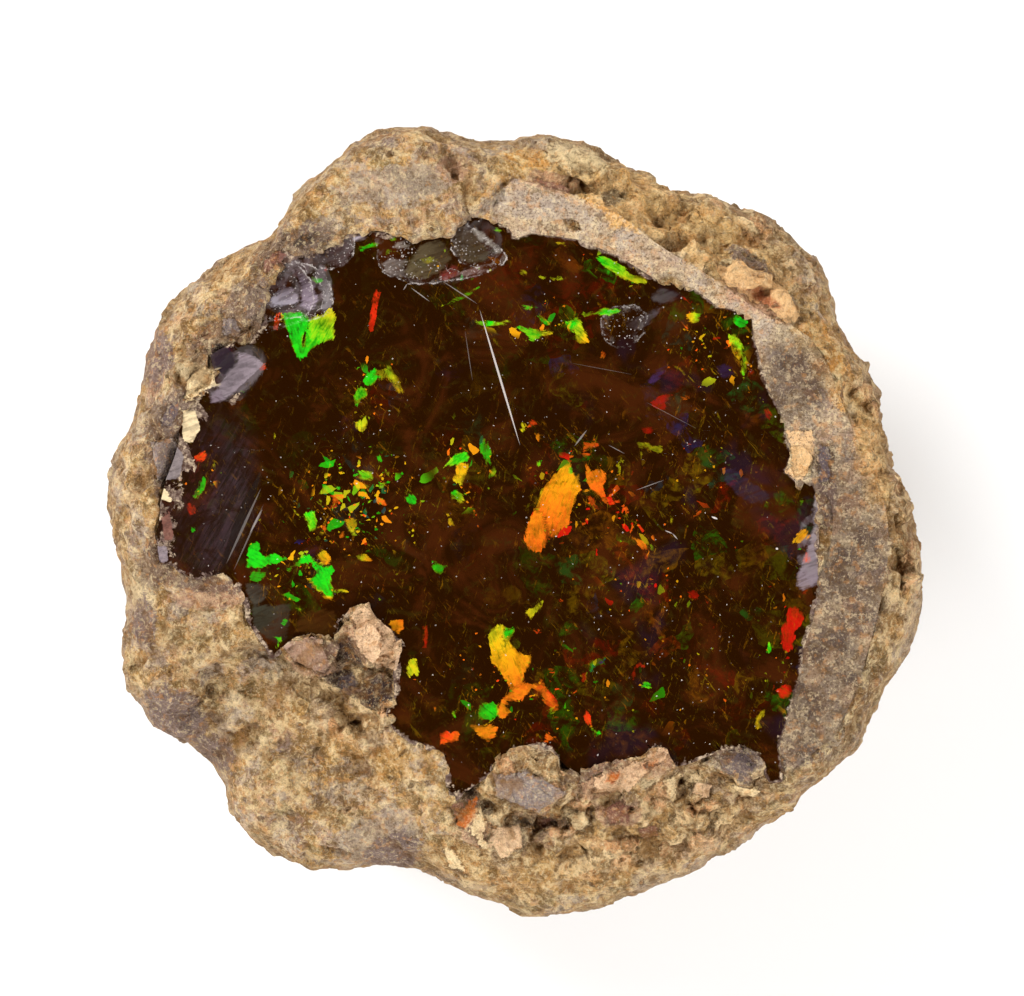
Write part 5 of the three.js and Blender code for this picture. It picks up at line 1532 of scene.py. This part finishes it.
# %% Opal material
def opal_material():
    g = Graph("dark precious opal")
    place = g.place()
    x, y = g.millimetres(place)
    chip = g.attribute("chip")
    ragged = g.noise(0.35 * MM, 4, 0.75, place=place) - 0.5
    streak = g.noise(0.9 * MM, 5, 0.7, 0.6, place)

    veil = g.noise(5 * MM, 4, 0.6, 1.2, place)
    wisp = g.noise(1.8 * MM, 5, 0.7, 2.0, g.shifted(place, 13 * MM))
    haze = g.noise(6 * MM, 3, 0.6, 0.5, g.shifted(place, 29 * MM))
    colour = g.mix(veil.ramp(0.47, 0.68) * 0.6, BODY, RUST)
    colour = g.mix(wisp.ramp(0.52, 0.7) * 0.5, colour, OLIVE)
    colour = g.mix(haze.ramp(0.55, 0.7) * x.ramp(0, 12) * 0.5, colour, VIOLET)
    # painted reflection: the grey and lilac sheen that the chips mirror, strongest in the big hollow
    sheen = g.attribute("sheen")
    stepped = g.attribute("stepped")
    brushed = g.noise(1, 4, 0.65, 0.6, g.stretched(place, 60, 3.5 * MM, 0.28 * MM))
    bands = ((g.attribute("ripple") + (streak - 0.5) * 1.2) * 5).sine() * 0.5 + 0.5
    grey = brushed.ramp(0.36, 0.66) * (1 - stepped) + bands.ramp(0.2, 0.9) * stepped
    sheen_colour = g.mix(grey, SHADE, g.mix(stepped, SHEEN_GREY, LILAC_SHARD_AND_SHEEN))
    patchy = g.noise(1.6 * MM, 4, 0.65, 0.8, g.shifted(place, 23 * MM))
    colour = g.mix(sheen * (0.25 + patchy.ramp(0.38, 0.6) * 0.65), colour, sheen_colour)
    colour = g.mix(hair(g, x, y, GROOVE), colour, srgb(26, 17, 14))

    # facets: the grey and lilac ones are painted reflections, the rest the opal's own colour
    glassy = g.noise(1, 3, 0.6, 0.4, g.stretched(place, 20, 1.6 * MM, 0.3 * MM))
    facet = g.attribute("facet") + ragged * 0.4 + (glassy - 0.5) * 0.5
    facet = facet.ramp(-0.04, 0.24) * g.attribute("facet_share")
    facet = facet * (glassy.ramp(0.34, 0.6) * 0.5 + 0.5)
    colour = g.mix(facet, colour, g.attribute("facet_colour", "Color"))

    crowd = g.attribute("fleck_density")
    splinters = g.stirred(place, 0.7 * MM, 0.35 * MM)
    fleck_hue = g.attribute("fleck_hue")
    domains = g.stirred(place, 2 * MM, 1.8 * MM)
    _, pick, tint = g.cells(2.4 * MM, domains)
    dim = pick.ramp(0.3, 0.9) * patchy.ramp(0.42, 0.62) * streak.ramp(0.36, 0.6)
    dim = dim * (crowd * 0.08 + x.ramp(-6, 8) * 0.07 + 0.01)
    layers = [(dim, tint * 1.1)]
    for span, slim, turn, share in SLIVERS:
        reach, width = span * slim * MM, span * MM
        own = g.stretched(g.shifted(splinters, span * 20 * MM), turn, reach, width)
        _, pick, tint = g.cells(1, own)
        lit = (pick - (1 - crowd * crowd * share)).ramp(0, 0.01) * (ragged + 0.3).ramp(-0.02, 0.1)
        strength = lit * (tint * 0.75 + 0.2)
        layers.append((strength, fleck_hue + (tint - 0.5) * 0.7))
    for turn in (75, -50):
        own = g.stretched(g.shifted(splinters, turn * MM), turn, 2.6 * MM, 0.22 * MM)
        strand = g.noise(1, 4, 0.65, 0.8, own)
        thread = strand.ramp(0.58, 0.7) * (crowd + 0.15) * wisp.ramp(0.42, 0.6) * 0.45
        layers.append((thread, patchy * 0.7 + 0.3))
    _, speck, speck_tint = g.cells(0.14 * MM, g.shifted(place, 37 * MM))
    specks = (speck - (1 - crowd * 0.012)).ramp(0, 0.002) * (speck_tint * 0.7 + 0.3)
    layers.append((specks, speck_tint * 0.5 + 0.4))

    own = g.node("ShaderNodeCombineXYZ", None,
                 [g.attribute("flash_along") / 1.1, g.attribute("flash_across") / 0.24,
                  g.attribute("flash_glow") * 9])
    fibre = g.noise(1, 4, 0.6, 0.3, own.out())
    inside = g.attribute("flash_inside")
    edge = inside + (fibre - 0.5) * 0.55 + ragged * 0.35
    softness = patchy.ramp(0.42, 0.62) * 0.3 + 0.06
    fade = g.noise(1.3 * MM, 3, 0.6, place=g.shifted(place, 41 * MM)).ramp(0.36, 0.54)
    flash = (edge / softness).least(1).most(0) * g.attribute("flash_glow") * (fade * 0.3 + 0.7)
    lit_rim = edge.ramp(0.22, 0.06) * patchy.ramp(0.4, 0.55)
    shimmer = fibre.ramp(0.33, 0.5) * 0.45 + streak.ramp(0.4, 0.58) * 0.3 + ragged * 0.6 + 0.3
    lit = (flash * (shimmer + lit_rim * 0.3)).least(1).most(0)
    flash_hue = g.attribute("flash_hue") + (fibre - 0.45) * 0.25 + (streak - 0.45) * 0.15
    flash_hue = flash_hue + (0.55 - flash_hue).most(0) * lit_rim * 0.5
    layers.append((lit, flash_hue))
    glowing = (0, 0, 0)
    for strength, own_hue in layers:
        glow_colour = hue_ramp(g, own_hue)
        colour = g.mix(strength, colour, glow_colour)
        glowing = g.mix(strength, glowing, glow_colour)

    _, dust_shade, dust_size = g.cells(0.09 * MM, place)
    dust = dust_shade.ramp(0.9982, 0.9986) * dust_size
    # the lips: a painted highlight along the chips' edges
    rim = g.attribute("lip")
    bent = rim + ragged * 0.35 + (streak - 0.5) * 0.5
    lip = abs(bent).ramp(0.1, 0.01) * (ragged + streak).ramp(0.4, 0.6) * 0.6
    lip = lip * chip.ramp(-0.5, -0.25) * (1 - x.ramp(4, 6) * 0.5)
    inner = rim.ramp(0.7, 0.1) * rim.ramp(-0.02, 0.05) * wisp.ramp(0.45, 0.55)
    lip = lip * (wisp.ramp(0.42, 0.52) * 0.8 + 0.2) + inner * (ragged + 0.1).most(0) * 0.5
    _, grain, grain_size = g.cells(0.1 * MM, g.shifted(place, 47 * MM))
    lip = lip + rim.ramp(-0.05, 0.1) * rim.ramp(6, 5) * grain.ramp(0.94, 0.96) * grain_size * 0.6
    # real dust and hair scratches, with the painted highlight of the lips and the lit ridges
    marks_and_glints = sum((hair(g, x, y, line) for line in HAIRS), start=dust * 0.7 + lip)
    colour = g.mix(marks_and_glints.least(1), colour, srgb(205, 195, 190))
    crusty = g.attribute("crusty")
    crust = 0.1 - g.attribute("edge") + (ragged * 0.5 + (patchy - 0.5) * 1.4) * (crusty * 0.7 + 0.12)
    crust = crust.ramp(0, 0.08)
    crumbs = g.attribute("crumbs") + (patchy - 0.5) * 2.2 + ragged * 0.6
    crust = crust.most(crumbs.ramp(0.42, 0.5))
    crumb = g.mix(streak.ramp(0.42, 0.6), srgb(120, 100, 92), srgb(206, 182, 152))
    colour = g.mix(crust * 0.92, colour, g.mix(ragged.ramp(-0.1, 0.15), srgb(70, 48, 38), crumb))
    shard = (g.attribute("shard") + ragged * 0.35).ramp(0, 0.07)
    chalk = g.mix(ragged.ramp(-0.2, 0.1) * 0.2 + glassy.ramp(0.36, 0.56) * 0.35 + 0.4, SHADE,
                  g.attribute("shard_colour", "Color"))
    colour = g.mix(shard * 0.9, colour, chalk)
    crust = crust.most(shard * 0.6)

    ripples = (g.attribute("ripple") * 4 + (streak - 0.5) * 4).sine()
    height = ripples * chip.ramp(0.02, 0.3) * 0.3 + grey * sheen * (0.3 + stepped * 0.5)
    height = height + g.noise(0.5 * MM, 2, place=place) * 0.04 + crust * ragged * 3
    bump = g.node("ShaderNodeBump", None,
                  {"Height": height, "Strength": 0.5, "Distance": 0.06 * MM})
    shader = g.node("ShaderNodeBsdfPrincipled", None, {
        "Base Color": colour,
        "Roughness": 0.06 + chip.ramp(0.02, 0.4) * 0.06 + sheen * 0.15 + facet * 0.15 + crust * 0.6,
        "Normal": bump.out(),
        "IOR": 1.45,
        "Emission Color": glowing,
        "Emission Strength": 0.16,
    })
    return g.finish(shader)


opal.data.materials.append(opal_material())
print("opal material:", len(opal.data.materials[0].node_tree.nodes), "nodes")
